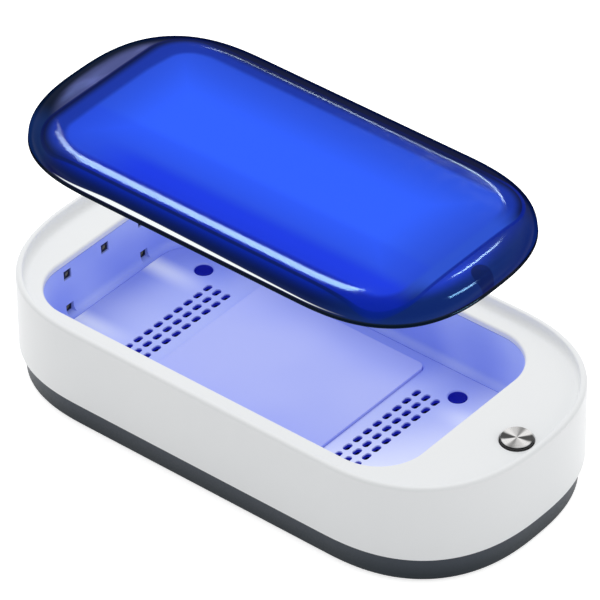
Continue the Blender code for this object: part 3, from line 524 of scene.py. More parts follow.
def roundedPlate(middle, half, radius, low, high, edge):
    # a flat plate with round corners and a small round along its upper edge
    form = bmesh.new()
    boxInto(form, (middle.x - half.x, middle.y - half.y, low), (middle.x + half.x, middle.y + half.y, high))
    uprights = [item for item in form.edges if abs(item.verts[0].co.z - item.verts[1].co.z) > edge]
    bmesh.ops.bevel(form, geom=uprights, offset=radius, affect="EDGES", segments=10, profile=0.5,
                    material=-1)
    if edge:
        upper = [item for item in form.edges if all(abs(vert.co.z - high) < weld for vert in item.verts)]
        bmesh.ops.bevel(form, geom=upper, offset=edge, affect="EDGES", segments=3, profile=0.5, material=-1)
    return form


def makeFloorPanel(look, material):
    under = floorTop - look["thickness"]
    plate = [(look["panelInset"], under), (look["panelInset"], floorTop)]
    panel = toObject("chamberFloor", loftRings(ringsOn(mouthOutline, plate)), material)

    wells = cornersOf("well_plug")
    cupBottom = bottomOf("floor_panel")
    radius, lip = look["wellRadius"], look["wellRound"]
    cup = radius + look["wellWall"]
    carve(panel, rods(wells, cup, cupBottom, under + 2 * play, look["cupSides"]), "UNION")
    seatHeight = cupBottom + look["wellWall"]
    bore = [(0, seatHeight), (radius, seatHeight), (radius, floorTop - lip), (radius + lip, floorTop),
            (radius + lip, floorTop + overrun), (0, floorTop + overrun)]
    carve(panel, turnPiece(wells, bore, look["wellSides"]))
    carve(panel, rods(wells, look["screwHole"], cupBottom - overrun, seatHeight + overrun))
    pad = middleOf("charging_pad")
    padHalf = halfOf("charging_pad") + Vector((play, play, 0))
    carve(panel, roundedPlate(pad, padHalf, look["padCorner"] + play, floorTop - look["padSeat"],
                              floorTop + overrun, 0))

    slots = bmesh.new()
    straight = (look["slotLength"] - look["slotWidth"]) / 2
    halfSide = Matrix.Rotation(math.pi / look["slotSides"], 4, "Z")
    for side in (-1, 1):
        for column in range(look["columns"]):
            x = pad.x + side * look["slotGroupReach"] + (column - 1) * look["columnPitch"]
            for row in range(look["rows"]):
                y = (row - (look["rows"] - 1) / 2) * look["rowPitch"]
                turned = Matrix.Translation((x, y, under - overrun)) @ halfSide
                ring = bmesh.ops.create_circle(slots, cap_ends=True, segments=look["slotSides"],
                                               radius=look["slotWidth"] / 2, matrix=turned)["verts"]
                for vert in ring:
                    vert.co.y += math.copysign(straight, vert.co.y - y)
                sole = ring[0].link_faces[0]
                grown = bmesh.ops.extrude_face_region(slots, geom=[sole])["geom"]
                bmesh.ops.translate(slots, vec=(0, 0, look["thickness"] + 2 * overrun),
                                    verts=[item for item in grown if isinstance(item, bmesh.types.BMVert)])
    carve(panel, slots)
    seat(panel, "base", "chamber_plastic", "floor_panel")


def makePad(look, material):
    middle = middleOf("charging_pad")
    form = roundedPlate(middle, halfOf("charging_pad"), look["padCorner"], bottomOf("charging_pad"),
                        topOf("charging_pad"), look["edge"])
    seat(toObject("chargingPad", form, material), "base", "pad_plastic", "charging_pad")


plugLook = {
    "dish": 0.0005, "edge": 0.0003, "sides": 48,
    "dishSteps": ((0.7, 0.4), (0.35, 0.85), (0, 1)),    # shares of the radius and of the dish
    "colour": (0.002, 0.005, 0.28), "driftColour": (0.004, 0.008, 0.32), "gloss": 0.08,
    "driftSize": 0.010, "roughness": 0.42, "spread": 0.06, "grainSize": 0.0005, "grainDepth": 0.00003,
    "relief": 0.3,
}


def makePlugs(look):
    material = mouldedPlastic("blueRubberPlug", look)
    for word in cornerWords:
        node = "well_plug_" + word
        low, top, radius = bottomOf(node), topOf(node), halfOf(node).x
        profile = [(0, low), (radius, low), (radius, top - look["edge"]), (radius - look["edge"], top)]
        profile += [(radius * out, top - look["dish"] * down) for out, down in look["dishSteps"]]
        plug = toObject("wellPlug_" + word, turnPiece([middleOf(node)], profile, look["sides"]), material)
        seat(plug, "base", "plug_rubber", node)


# Lamp chips: a dark package with a round, yellowish lens sunk in its face
chipLook = {
    "edge": 0.00015, "lensShare": 0.30, "lensDepth": 0.0003, "lensSides": 32,
    "package": {"colour": (0.004, 0.005, 0.020), "other": (0.010, 0.012, 0.05), "size": 0.0006},
    "packageRoughness": 0.4, "packageGloss": 0.2,
    "lens": {"colour": (0.20, 0.19, 0.10), "other": (0.08, 0.07, 0.03), "size": 0.0005},
    "lensRoughness": 0.2,
}


def makeChips(look):
    package, tree, shader, coords = startMaterial("lampPackage", Roughness=look["packageRoughness"])
    shader.inputs["Specular IOR Level"].default_value = look["packageGloss"]
    speckle(tree, shader, coords, look["package"])
    lens, tree, shader, coords = startMaterial("lampLens", Roughness=look["lensRoughness"])
    speckle(tree, shader, coords, look["lens"])
    for side in ("left", "right"):
        for node in chipNames(side):
            low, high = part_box(node)
            middle = middleOf(node)
            form = bmesh.new()
            boxInto(form, low, high)
            bmesh.ops.bevel(form, geom=list(form.edges), offset=look["edge"], affect="EDGES", segments=2,
                            profile=0.5, material=-1)
            chip = toObject(node.replace("uv_led", "lampChip"), form, package)
            radius = (high.y - low.y) * look["lensShare"]
            front = high.x if side == "left" else low.x
            turned = Matrix.Translation((front, middle.y, middle.z)) @ Matrix.Rotation(math.pi / 2, 4, "Y")
            bore = bmesh.new()
            bmesh.ops.create_cone(bore, cap_ends=True, segments=look["lensSides"], radius1=radius,
                                  radius2=radius, depth=2 * look["lensDepth"], matrix=turned)
            carve(chip, bore)
            # the bottom of the bore is the lens
            chip.data.materials.append(lens)
            for face in chip.data.polygons:
                sunk = abs(face.center.x - front)
                if abs(sunk - look["lensDepth"]) < weld and abs(face.normal.x) > 0.9:
                    face.material_index = 1
            seat(chip, "base", "lamp_chip", node)


# Button: a dark plunger with a spun disc on it, whose bright and dim wedges are painted reflection
plungerLook = {
    "radius": 0.0058, "edge": 0.0003, "stem": 0.0018, "flangeThickness": 0.001,
    "colour": (0.018, 0.018, 0.020), "driftColour": (0.024, 0.024, 0.027), "driftSize": 0.004,
    "roughness": 0.3, "spread": 0.04, "grainSize": 0.0004, "grainDepth": 0.00001, "relief": 0.2,
}
discLook = {
    "edge": 0.00018, "dish": 0.00025, "rim": 0.86, "sides": 96,
    "dishSteps": ((1, 0), (0.96, 0.5), (0.6, 0.85), (0.3, 1), (0, 1)),  # shares of the rim and the dish
    # bright and dim: painted reflection, wedges of light and dark round the disc
    "bright": (0.88, 0.87, 0.86), "dim": (0.07, 0.07, 0.07), "brightSpan": (-1.0, 0.95),
    "roughness": 0.24, "anisotropy": 0.85,
    "wedges": 4, "waves": ((1, 2.76), (0.5, -2.55), (1.5, 1.22)), "uneven": 0.5,    # pace and phase
    "ringScale": 3200.0, "ringBend": 0.4, "ringShare": 0.16, "ringRelief": 0.08, "ringDepth": 0.00002,
}


def makePlunger(look):
    low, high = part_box("button_body")
    radius, edge, stem = look["radius"], look["edge"], look["stem"]
    flange = halfOf("button_body").x
    flangeTop = deckTop - housingLook["deckThickness"] - play
    flangeLow = flangeTop - look["flangeThickness"]
    profile = [(0, low.z), (stem, low.z), (stem, flangeLow), (flange, flangeLow), (flange, flangeTop),
               (radius, flangeTop)]
    profile += arcSection(radius - edge, high.z - edge, edge, 0, 90, steps=3)
    profile.append((0, high.z))
    material = mouldedPlastic("darkPlunger", look)
    plunger = toObject("buttonPlunger", turnPiece([(buttonX, 0)], profile), material)
    seat(plunger, "button", "dark_plastic", "button_body")


def makeDisc(look):
    metal, tree, shader, coords = startMaterial("spunDisc", Metallic=1.0, Roughness=look["roughness"],
                                                Anisotropic=look["anisotropy"])
    centred = addNode(tree, "ShaderNodeMapping", {"Vector": coords, "Location": (-buttonX, 0, 0)}).outputs[0]
    # painted reflection: bright and dim wedges round the disc, besides its real sheen; the rings are its spun
    # grain
    around = addNode(tree, "ShaderNodeTexGradient", {"Vector": centred}, gradient_type="RADIAL")
    turn = product(tree, around.outputs["Fac"], 2 * math.pi * look["wedges"])
    waves = [calc(tree, "SINE", calc(tree, "ADD", product(tree, turn, pace), phase))
             for pace, phase in look["waves"]]
    uneven = product(tree, calc(tree, "ADD", waves[1], waves[2]), look["uneven"])
    share = ramp(tree, calc(tree, "ADD", waves[0], uneven), *look["brightSpan"])
    rings = addNode(tree, "ShaderNodeTexWave", {"Vector": centred, "Scale": look["ringScale"],
                                                "Distortion": look["ringBend"]},
                    wave_type="RINGS", rings_direction="Z").outputs["Fac"]
    tone = blendColours(tree, share, look["dim"], look["bright"])
    lined = blendColours(tree, product(tree, rings, look["ringShare"]), tone, look["dim"])
    tree.links.new(lined, shader.inputs["Base Color"])
    tangent = addNode(tree, "ShaderNodeTangent", direction_type="RADIAL", axis="Z")
    tree.links.new(tangent.outputs[0], shader.inputs["Tangent"])
    bump = addNode(tree, "ShaderNodeBump", {"Height": rings, "Strength": look["ringRelief"],
                                            "Distance": look["ringDepth"]})
    tree.links.new(bump.outputs["Normal"], shader.inputs["Normal"])
    low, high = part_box("button_cap")
    radius, edge = halfOf("button_cap").x, look["edge"]
    rim = radius * look["rim"]
    profile = [(0, low.z), (radius - edge, low.z), (radius, low.z + edge)]
    profile += arcSection(radius - edge, high.z - edge, edge, 0, 90, steps=3)
    profile += [(rim * out, high.z - look["dish"] * down) for out, down in look["dishSteps"]]
    disc = toObject("spunCap", turnPiece([(buttonX, 0)], profile, look["sides"]), metal)
    seat(disc, "button", "spun_metal", "button_cap")


# Lid: much of the light and shade of a clear blue lid is painted into its colour. A bright blue window,
# painted as lit from the chamber below and glowing a little, lies inside the line of its skirt; outside
# the line it is smoky at the left and clear blue at the right, with painted shade deep blue in front and
# nearly black behind, and a painted highlight, a white line, low on the front. Each fade names the places
# where its share is 0 and 1, or where it has the two shares that follow them: along x or y, inside
# the line (Depth), in from the lid's own edge (Inset), or up from its lower edge.
lidLook = {
    "wall": 0.0018, "edgeHeight": 0.0020, "shoulder": 0.0066, "shoulderTilt": 14.0, "roll": 0.030,
    "crownTilt": 2.4, "crown": 0.0010, "top": 0.0101, "crownRings": 12, "crownSpread": 0.8,
    "crownShare": 0.985, "ribCover": 0.0014, "innerEdge": 0.0003, "beadRadius": 0.0006,
    "beadProud": 0.0002, "beadEnd": 112, "beadRise": 2.2, "innerStart": 92, "skirtInset": 0.0010,
    "skirtThickness": 0.0014, "skirtDrop": 0.0016, "skirtCorner": 0.0240, "bossRadius": 0.0036,
    "bossRise": 0.0008, "bossRound": 0.0004, "bossSides": 40,
    "seamShift": (0.0022, -0.0021), "seamHalf": (0.0804, 0.0412), "seamCorner": 0.0160,

    "gloss": 0.16, "lowGloss": 0.02, "glossFacing": (0.27, 0.42), "rimFacing": (0.52, 0.62, 1, 0),
    "sheen": (0.20, 0.60, 1.0), "roughness": (0.06, 0.10), "roughSize": 0.004,
    # glow and highlightGlow: painted glow of the window and of the white line
    "glow": 0.10, "glowDepth": (0.004, 0.012), "highlightGlow": 0.30,
    "clearRight": 0.8, "clearDepth": (0.0, -0.0012), "clearInset": (0.0014, 0.0040, 0, 0.25),

    # bright and step: the window painted as lit from the chamber below; front: darker towards the front
    "bright": (0.029, 0.113, 0.96), "step": (0.022, 0.077, 0.66), "brightDepth": (0.007, 0.033),
    "front": (0.009, 0.040, 0.74), "frontHint": (-0.012, -0.016, 0, 0.22), "frontY": (-0.024, -0.031),
    "frontX": (-0.060, -0.030),
    "band": (0.010, 0.036, 0.38), "bandOuter": (0.002, 0.007, 0.050), "bandDepth": (0.0002, 0.0042),
    "bandFront": (0.004, 0.018, 0.46), "bandFrontY": (-0.026, -0.036), "bandFrontX": (-0.070, -0.045),
    "bandRight": (0.025, 0.087, 0.65), "bandRightX": (0.056, 0.074), "bandRightY": (-0.034, -0.018),
    "bandRightBack": (0.031, 0.016), "bandEdge": (0.0042, 0.0068),
    "widerLeft": (-0.056, -0.070, 0, 0.0030), "widerBack": (0.010, 0.030, 0, 0.0016),

    # painted shade: the rim deep blue along the front and nearly black behind
    "frontRim": (0.0016, 0.0050, 0.085), "frontRise": (0.0014, 0.0160, 0.40), "riseInset": (0.0004, 0.0040),
    "backRim": (0.0010, 0.0040, 0.036), "backY": (-0.030, 0.0),
    "smoke": (0.130, 0.150, 0.43), "smokeX": (-0.062, -0.072), "smokeY": (0.036, 0.022),
    "palerInset": (0.0060, 0.0104), "palerY": (-0.040, -0.004, 0.15, 1),
    "wispScale": (1, 0.25, 1), "wispSize": 0.008, "wispSpan": (0.42, 0.58, 1, 0.62),
    "smokeDark": (0.002, 0.007, 0.026), "smokeFront": (0.006, 0.024, 0.12), "darkY": (-0.022, -0.034),
    "rightNear": (0.006, 0.025, 0.32), "rightFront": (0.010, 0.043, 0.61), "nearY": (0.015, -0.012),
    "rightFar": (0.005, 0.021, 0.18), "rightInset": (0.0025, 0.0078), "rightX": (0.050, 0.076),
    "rightY": (0.040, 0.026),
    "disc": (0.0015, 0.007, 0.11), "discShift": (0.0050, -0.0042), "discSpan": (0.0036, 0.0042, 0.95, 0),

    "seam": (0.001, 0.006, 0.09), "seamRight": (0.001, 0.014, 0.30), "seamEdge": (-0.0003, 0.0003),
    "seamDepth": (0.0003, 0.0009, 0.85, 0),
    # foot: painted shade on the lower edge; line: a painted highlight, the white line low on the front
    "foot": (0.0004, 0.0006, 0.008), "footHeight": (0.0016, 0.0022, 1, 0),
    "line": (0.93, 0.98, 1.0), "lineStart": (-0.070, -0.064), "lineEnd": (0.040, 0.060, 1, 0),
    "thickStart": (-0.070, -0.040), "thickEnd": (0.064, -0.034), "lineRise": 0.0015,
    "lineFoot": (0.0022, 0.0025), "lineTop": (0.0024, 0.0028, 1, 0), "lineInset": (0.0008, 0.0012, 1, 0),
    "lineY": (-0.020, -0.030),
}


def lidInset(tree, far, aside):
    # how far in from the lid's own outline
    power = lidShape["power"]
    past = calc(tree, "MAXIMUM", calc(tree, "SUBTRACT", far, lidHalf.x - lidShape["endReach"]), 0)
    run = calc(tree, "POWER", calc(tree, "DIVIDE", past, lidShape["endReach"]), power)
    rise = calc(tree, "POWER", calc(tree, "DIVIDE", aside, lidHalf.y), power)
    reach = calc(tree, "POWER", calc(tree, "ADD", run, rise), 1 / power)
    return product(tree, calc(tree, "SUBTRACT", 1, reach), lidHalf.y)


def lineDepth(tree, look, x, y):
    # how far inside the line where the skirt shows through
    corner = look["seamCorner"]
    overs = []
    for part, shift, half in zip((x, y), look["seamShift"], look["seamHalf"]):
        out = calc(tree, "ABSOLUTE", calc(tree, "SUBTRACT", part, shift))
        overs.append(calc(tree, "SUBTRACT", out, half - corner))
    squares = [calc(tree, "POWER", calc(tree, "MAXIMUM", over, 0), 2) for over in overs]
    outer = calc(tree, "SQRT", calc(tree, "ADD", *squares))
    inner = calc(tree, "MINIMUM", calc(tree, "MAXIMUM", *overs), 0)
    return calc(tree, "SUBTRACT", corner, calc(tree, "ADD", outer, inner))


def discShare(tree, look, place):
    # where the magnet shows through as a dark disc
    middle = middleOf("lid_magnet")
    spot = [calc(tree, "SUBTRACT", place[axis], middle[index] + look["discShift"][index])
            for index, axis in enumerate("XY")]
    squares = [calc(tree, "POWER", calc(tree, "ABSOLUTE", part), 2) for part in spot]
    return ramp(tree, calc(tree, "SQRT", calc(tree, "ADD", *squares)), *look["discSpan"])


def lidMaterial(look, low):
    material, tree, shader, coords = startMaterial("translucentBlue", IOR=1.45)

    def fade(value, key):
        return ramp(tree, value, *look[key])

    place = addNode(tree, "ShaderNodeSeparateXYZ", {0: coords}).outputs
    x, y = calc(tree, "SUBTRACT", place["X"], mouthX), place["Y"]
    height = calc(tree, "SUBTRACT", place["Z"], low)
    inset = lidInset(tree, calc(tree, "ABSOLUTE", x), calc(tree, "ABSOLUTE", y))
    depth = lineDepth(tree, look, x, y)

    # inside the line: a darker band, then a step up to the bright window, painted as lit from the chamber
    # below and darker towards the front
    toRight = fade(x, "bandRightX")
    top = blendColours(tree, fade(depth, "brightDepth"), look["step"], look["bright"])
    top = blendColours(tree, fade(y, "frontHint"), top, look["front"])
    top = blendColours(tree, product(tree, fade(y, "frontY"), fade(x, "frontX")), top, look["front"])
    band = blendColours(tree, fade(depth, "bandDepth"), look["bandOuter"], look["band"])
    ahead = product(tree, fade(y, "bandFrontY"), fade(x, "bandFrontX"))
    band = blendColours(tree, ahead, band, look["bandFront"])
    beside = product(tree, fade(y, "bandRightY"), fade(y, "bandRightBack"))
    band = blendColours(tree, product(tree, toRight, beside), band, look["bandRight"])
    wider = calc(tree, "ADD", fade(x, "widerLeft"), fade(y, "widerBack"))
    inside = blendColours(tree, fade(calc(tree, "SUBTRACT", depth, wider), "bandEdge"), band, top)

    # outside it: the rim in painted shade, the smoky left end and the clear right end
    rim = blendColours(tree, fade(inset, "riseInset"), look["frontRim"], look["frontRise"])
    rim = blendColours(tree, fade(y, "backY"), rim, look["backRim"])
    drawn = addNode(tree, "ShaderNodeMapping", {"Vector": coords, "Scale": look["wispScale"]}).outputs[0]
    wisps = fade(noise(tree, drawn, look["wispSize"]), "wispSpan")
    paler = product(tree, fade(inset, "palerInset"), fade(y, "palerY"), wisps)
    dark = blendColours(tree, fade(y, "darkY"), look["smokeDark"], look["smokeFront"])
    smoke = blendColours(tree, paler, dark, look["smoke"])
    atLeft = product(tree, fade(x, "smokeX"), fade(y, "smokeY"))
    outside = blendColours(tree, atLeft, rim, smoke)
    near = blendColours(tree, fade(y, "nearY"), look["rightNear"], look["rightFront"])
    right = blendColours(tree, fade(inset, "rightInset"), look["rightFar"], near)
    right = blendColours(tree, discShare(tree, look, place), right, look["disc"])
    atRight = product(tree, fade(x, "rightX"), fade(y, "rightY"))
    outside = blendColours(tree, atRight, outside, right)

    # the skirt's line, the lower edge in painted shade, and a painted highlight: the white line low on
    # the front wall, which also glows
    tone = blendColours(tree, fade(depth, "seamEdge"), outside, inside)
    seam = blendColours(tree, toRight, look["seam"], look["seamRight"])
    tone = blendColours(tree, fade(calc(tree, "ABSOLUTE", depth), "seamDepth"), tone, seam)
    tone = blendColours(tree, fade(height, "footHeight"), tone, look["foot"])
    along = product(tree, fade(place["X"], "lineStart"), fade(place["X"], "lineEnd"))
    thick = product(tree, fade(place["X"], "thickStart"), fade(place["X"], "thickEnd"), look["lineRise"])
    across = product(tree, fade(height, "lineFoot"), fade(calc(tree, "SUBTRACT", height, thick), "lineTop"))
    line = product(tree, along, across, fade(inset, "lineInset"), fade(y, "lineY"))
    tone = blendColours(tree, line, tone, look["line"])
    tree.links.new(tone, shader.inputs["Base Color"])
    tree.links.new(tone, shader.inputs["Emission Color"])
    # painted glow: the window and the white line glow a little
    window = product(tree, fade(depth, "glowDepth"), look["glow"])
    glow = calc(tree, "ADD", window, product(tree, line, look["highlightGlow"]))
    tree.links.new(glow, shader.inputs["Emission Strength"])

    # a soft sheen where the lid faces the eye, none along the rim, and light through both ends
    facing = addNode(tree, "ShaderNodeLayerWeight", {"Blend": 0.5}).outputs["Facing"]
    gloss = ramp(tree, facing, *look["glossFacing"], look["gloss"], look["lowGloss"])
    shader.inputs["Specular IOR Level"].default_value = look["gloss"]
    tree.links.new(product(tree, gloss, fade(facing, "rimFacing")), shader.inputs["Specular IOR Level"])
    shader.inputs["Specular Tint"].default_value = (*look["sheen"], 1)
    ends = calc(tree, "MAXIMUM", product(tree, atLeft, paler), product(tree, atRight, look["clearRight"]))
    clear = product(tree, ends, fade(depth, "clearDepth"), fade(inset, "clearInset"))
    tree.links.new(clear, shader.inputs["Transmission Weight"])
    rough = ramp(tree, noise(tree, coords, look["roughSize"]), *noiseSpan, *look["roughness"])
    tree.links.new(rough, shader.inputs["Roughness"])
    return material


def lidSection(look):
    # the outside from the lower bead up over the shoulder to the middle of the crown
    bead, small, wide = look["beadRadius"], look["shoulder"], look["roll"]
    tilt, crownTilt = look["shoulderTilt"], look["crownTilt"]
    outer = arcSection(bead - look["beadProud"], bead, bead, 270, look["beadEnd"], steps=12)
    outer.append((0, look["beadRise"] * bead))
    outer += arcSection(small, look["edgeHeight"], small, 180, 90 + tilt, steps=18)
    inset, height = outer[-1]
    outer += arcSection(inset + wide * math.sin(math.radians(tilt)),
                        height - wide * math.cos(math.radians(tilt)),
                        wide, 90 + tilt, 90 + crownTilt, steps=8)[1:]
    inset, height = outer[-1]
    run = lidHalf.y - inset
    rise = look["top"] - height
    for step in range(1, look["crownRings"] + 1):
        share = (step / look["crownRings"]) ** look["crownSpread"] * look["crownShare"]
        outer.append((inset + share * run, height + rise * (1 - (1 - share) ** 2)))
    return outer


def makeLid(look):
    low = bottomOf("lid_shell") + look["skirtDrop"]
    wall, edge, small = look["wall"], look["innerEdge"], look["shoulder"]
    outer = lidSection(look)
    inner = [(inset, height - wall) for inset, height in reversed(outer) if inset > small]
    inner += arcSection(small, look["edgeHeight"], small - wall, look["innerStart"], 180, steps=12)
    inner += [(wall, edge), (wall - edge, 0)]
    lid = toObject("blueLid", loftRings(ringsOn(lidOutline, inner + outer, low)), lidMaterial(look, low))

    skirtOutline = makeOutline(mouthX, *mouthHalf, look["skirtCorner"], look["skirtCorner"], 2)
    ribTop = low + look["top"] - look["crown"] - look["ribCover"]
    skirtLow = low - look["skirtDrop"]
    near = look["skirtInset"]
    far = near + look["skirtThickness"]
    soft = look["bossRound"]
    section = [(near, ribTop), (near, skirtLow + soft), (near + soft, skirtLow), (far - soft, skirtLow),
               (far, skirtLow + soft), (far, ribTop)]
    carve(lid, loftRings(ringsOn(skirtOutline, section), closed=True), "UNION")

    magnet = middleOf("lid_magnet")
    bossLow = low + look["bossRise"]
    radius = look["bossRadius"]
    boss = [(0, bossLow), (radius - soft, bossLow), (radius, bossLow + soft), (radius, ribTop), (0, ribTop)]
    carve(lid, turnPiece([magnet], boss, look["bossSides"]), "UNION")
    bore = halfOf("lid_magnet").x + play
    boreTop = topOf("lid_magnet") + play
    pocket = [(0, bossLow - overrun), (bore, bossLow - overrun), (bore, boreTop), (0, boreTop)]
    carve(lid, turnPiece([magnet], pocket, look["bossSides"]))
    # light passes through the lid: it throws no shadow on the deck and doesn't tint the button
    lid.visible_shadow = False
    lid.visible_diffuse = False
    lid.visible_glossy = False
    seat(lid, "lid", "blue_lid", "lid_shell")
    return lid


magnetLook = {"colour": (0.55, 0.55, 0.57), "other": (0.42, 0.42, 0.45), "size": 0.0008, "roughness": 0.3,
              "sides": 40}


def makeMagnet(look):
    material, tree, shader, coords = startMaterial("platedMagnet", Metallic=1.0, Roughness=look["roughness"])
    speckle(tree, shader, coords, look)
    low, high = bottomOf("lid_magnet"), topOf("lid_magnet")
    radius, edge = halfOf("lid_magnet").x, play / 2
    profile = [(0, low), (radius - edge, low), (radius, low + edge), (radius, high - edge),
               (radius - edge, high), (0, high)]
    magnet = toObject("lidMagnet", turnPiece([middleOf("lid_magnet")], profile, look["sides"]), material)
    seat(magnet, "lid", "steel", "lid_magnet")


# Feet
footLook = {
    "edge": 0.0004, "edgeBow": 0.3, "colour": (0.016, 0.016, 0.017), "driftColour": (0.022, 0.022, 0.024),
    "driftSize": 0.006, "roughness": 0.8, "spread": 0.05, "grainSize": 0.0005, "grainDepth": 0.00004,
    "relief": 0.5,
}


def makeFeet(look):
    material = mouldedPlastic("footRubber", look)
    edge = look["edge"]
    bow = edge * look["edgeBow"]
    for word in cornerWords:
        node = "foot_" + word
        low, high, radius = bottomOf(node), topOf(node), halfOf(node).x
        profile = [(0, low), (radius - edge, low), (radius - bow, low + bow), (radius, low + edge),
                   (radius, high), (0, high)]
        foot = toObject("rubberFoot_" + word, turnPiece([middleOf(node)], profile), material)
        seat(foot, "base", "foot_rubber", node)


# What is held inside keeps its own solids and gets its finish here
innerLooks = {
    "circuit_board": {"colour": (0.012, 0.110, 0.045), "other": (0.020, 0.150, 0.065), "size": 0.0016,
                      "metal": 0.0, "roughness": 0.42},
    "copper": {"colour": (0.78, 0.36, 0.18), "other": (0.62, 0.24, 0.10), "size": 0.0008, "metal": 1.0,
               "roughness": 0.28},
    "ferrite": {"colour": (0.060, 0.060, 0.064), "other": (0.085, 0.083, 0.085), "size": 0.0006,
                "metal": 0.0, "roughness": 0.72},
    "steel": {"colour": (0.60, 0.60, 0.61), "other": (0.46, 0.46, 0.48), "size": 0.0007, "metal": 1.0,
              "roughness": 0.30},
    "dark_plastic": {"colour": (0.030, 0.030, 0.033), "other": (0.042, 0.042, 0.046), "size": 0.0009,
                     "metal": 0.0, "roughness": 0.42},
    "lead_sleeve": {"colour": (0.74, 0.74, 0.76), "other": (0.66, 0.66, 0.69), "size": 0.0030,
                    "metal": 0.0, "roughness": 0.5},
}
innerSpread = 0.05      # how far the roughness of these varies


def finishInnerNodes(looks):
    slotOf = {row["node"]: row["material_slot"] for row in frame["record"]["subparts"]}
    made = {}
    for slot, look in looks.items():
        material, tree, shader, coords = startMaterial("inner_" + slot, Metallic=look["metal"])
        speck = speckle(tree, shader, coords, look, detail=3.0)
        rough = ramp(tree, speck, *noiseSpan, look["roughness"] - innerSpread,
                     look["roughness"] + innerSpread)
        tree.links.new(rough, shader.inputs["Roughness"])
        made[slot] = material
    for name, item in frame["nodes"].items():
        if not item.hide_render:
            item.data.materials.clear()
            item.data.materials.append(made[slotOf[name]])


# Floor, light and camera
stageLook = {
    "span": 6.0, "colour": (0.90, 0.90, 0.90), "other": (0.882, 0.882, 0.882), "size": 0.5,
    "roughness": 0.9, "lift": 0.70, "world": (1.0, 1.0, 1.0), "worldStrength": 0.68,
}
lampDistance = 1.5      # from the target, where a lamp has no other
lampLooks = (
    {"name": "keyPanel", "way": (-0.55, 0.40, 0.73), "axis": (0.83, 0.14, 0.54), "size": (0.9, 0.9),
     "radiance": 3.5},
    {"name": "rightSide", "way": (0.85, 0.30, 0.42), "axis": (-0.3, 0.95, 0.0), "size": (0.8, 0.8),
     "radiance": 0.8, "away": 1.4},
)
# these only draw the lines of light on the lid
stripLooks = (
    {"name": "frontStrip", "way": (-0.500, 0.337, 0.798), "axis": (0.863, 0.122, 0.490),
     "size": (0.38, 0.20), "radiance": 55.0},
    {"name": "cornerStrip", "way": (-0.636, 0.375, 0.675), "axis": (0.291, -0.693, 0.659),
     "size": (0.25, 0.08), "radiance": 55.0},
    {"name": "cornerThinStrip", "way": (-0.650, 0.453, 0.611), "axis": (-0.022, -0.814, 0.580),
     "size": (0.115, 0.026), "radiance": 55.0},
    {"name": "backLeftStrip", "way": (-0.562, 0.702, 0.438), "axis": (0.791, 0.301, 0.532),
     "size": (0.08, 0.042), "radiance": 55.0, "tint": (0.80, 0.90, 1.0)},
    {"name": "backMiddleStrip", "way": (-0.499, 0.717, 0.487), "axis": (0.717, 0.025, 0.697),
     "size": (0.14, 0.048), "radiance": 62.0, "tint": (0.80, 0.90, 1.0)},
    {"name": "backRightStrip", "way": (-0.425, 0.725, 0.543), "axis": (-0.720, 0.094, -0.688),
     "size": (0.15, 0.040), "radiance": 160.0, "tint": (0.75, 0.90, 1.0)},
    {"name": "endHighStrip", "way": (-0.217, 0.634, 0.742), "axis": (-0.028, 0.756, -0.654),
     "size": (0.17, 0.038), "radiance": 55.0},
    {"name": "endLowStrip", "way": (0.709, 0.391, 0.587), "axis": (0.198, -0.909, 0.367),
     "size": (0.45, 0.24), "radiance": 62.0, "tint": (1.0, 0.90, 0.88)},
)
lightTarget = Vector((mouthX, 0, 0.105))
cameraLook = {
    "azimuth": 40.0283, "elevation": 37.8609, "roll": -0.737, "distance": 1.92466, "target": 0.0520,
    "focal": 5582.48, "frame": 600, "shift": (0.00444, 0.00081), "sensor": 36.0,
}


def anyRay(tree):
    # 1 for what the camera, a reflection or a clear piece looks at
    path = addNode(tree, "ShaderNodeLightPath").outputs
    seen = calc(tree, "MAXIMUM", path["Is Camera Ray"], path["Is Glossy Ray"])
    return calc(tree, "MAXIMUM", seen, path["Is Transmission Ray"])


def makeStage(look):
    form = bmesh.new()
    bmesh.ops.create_grid(form, x_segments=1, y_segments=1, size=look["span"] / 2)
    material, tree, shader, coords = startMaterial("paleFloor", Roughness=look["roughness"])
    speckle(tree, shader, coords, look)
    tree.links.new(product(tree, anyRay(tree), look["lift"]), shader.inputs["Emission Strength"])
    shader.inputs["Emission Color"].default_value = (1, 1, 1, 1)
    shader.inputs["Specular IOR Level"].default_value = 0.0
    # from below nothing hides the underside
    behind = addNode(tree, "ShaderNodeNewGeometry").outputs["Backfacing"]
    seeThrough = addNode(tree, "ShaderNodeBsdfTransparent").outputs["BSDF"]
    either = addNode(tree, "ShaderNodeMixShader", {0: behind, 1: shader.outputs["BSDF"], 2: seeThrough})
    tree.links.new(either.outputs["Shader"], tree.nodes["Material Output"].inputs["Surface"])
    floor = toObject("studioFloor", form, material)
    world = bpy.data.worlds.new("studio")
    world.use_nodes = True
    tree = world.node_tree
    sky = tree.nodes["Background"]
    sky.inputs["Color"].default_value = (*look["world"], 1)
    tree.links.new(ramp(tree, anyRay(tree), 0, 1, look["worldStrength"], 1), sky.inputs["Strength"])
    bpy.context.scene.world = world


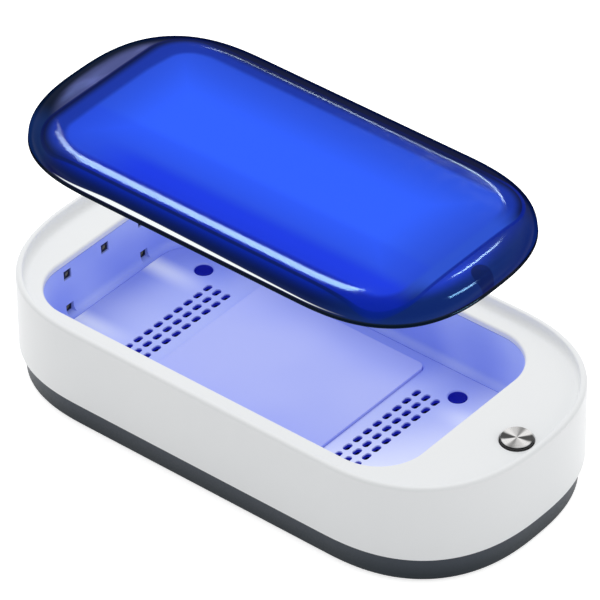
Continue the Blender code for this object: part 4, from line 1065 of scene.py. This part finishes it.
def makeLamps(looks, seenBy=None):
    for look in looks:
        data = bpy.data.lights.new(look["name"], "AREA")
        data.shape = "RECTANGLE"
        data.size, data.size_y = look["size"]
        data.energy = look["radiance"] * math.pi * data.size * data.size_y
        data.color = look.get("tint", (1, 1, 1))
        lamp = bpy.data.objects.new(look["name"], data)
        back = Vector(look["way"]).normalized()
        along = Vector(look["axis"])
        along = (along - back * along.dot(back)).normalized()
        lamp.location = lightTarget + back * look.get("away", lampDistance)
        lamp.rotation_euler = Matrix((along, back.cross(along), back)).transposed().to_euler()
        if seenBy:
            lamp.light_linking.receiver_collection = seenBy
            lamp.visible_diffuse = False
        else:
            lamp.visible_glossy = False
        bpy.context.scene.collection.objects.link(lamp)


def makeCamera(look):
    azimuth, elevation = math.radians(look["azimuth"]), math.radians(look["elevation"])
    back = Vector((math.sin(azimuth) * math.cos(elevation), -math.cos(azimuth) * math.cos(elevation),
                   math.sin(elevation)))
    data = bpy.data.cameras.new("photoView")
    data.sensor_width = look["sensor"]
    data.lens = look["focal"] * look["sensor"] / look["frame"]
    data.shift_x, data.shift_y = look["shift"]
    camera = bpy.data.objects.new("photoView", data)
    camera.location = Vector((0, 0, look["target"])) + back * look["distance"]
    level = (-back).to_track_quat("-Z", "Y").to_matrix()
    rolled = level @ Matrix.Rotation(math.radians(look["roll"]), 3, "Z")
    camera.rotation_euler = rolled.to_euler()
    bpy.context.scene.collection.objects.link(camera)
    bpy.context.scene.camera = camera


makeHousing(housingLook)
makePan(panLook)
print("shells made")
makeLiner(linerLook, paintedLampLight("paintedLampLightWalls", paintedLampLightLook, "wall"))
makeFloorPanel(floorLook, paintedLampLight("paintedLampLightFloor", paintedLampLightLook, "floor"))
makePad(floorLook, paintedLampLight("paintedLampLightPad", paintedLampLightLook, "pad"))
makePlugs(plugLook)
makeChips(chipLook)
print("chamber made")
makePlunger(plungerLook)
makeDisc(discLook)
blueLid = makeLid(lidLook)
makeMagnet(magnetLook)
makeFeet(footLook)
finishInnerNodes(innerLooks)
print("lid, button and feet made")
makeStage(stageLook)
makeLamps(lampLooks)
lidAlone = bpy.data.collections.new("lidAlone")
lidAlone.objects.link(blueLid)
makeLamps(stripLooks, lidAlone)
makeCamera(cameraLook)
bpy.context.scene.view_settings.view_transform = "Standard"
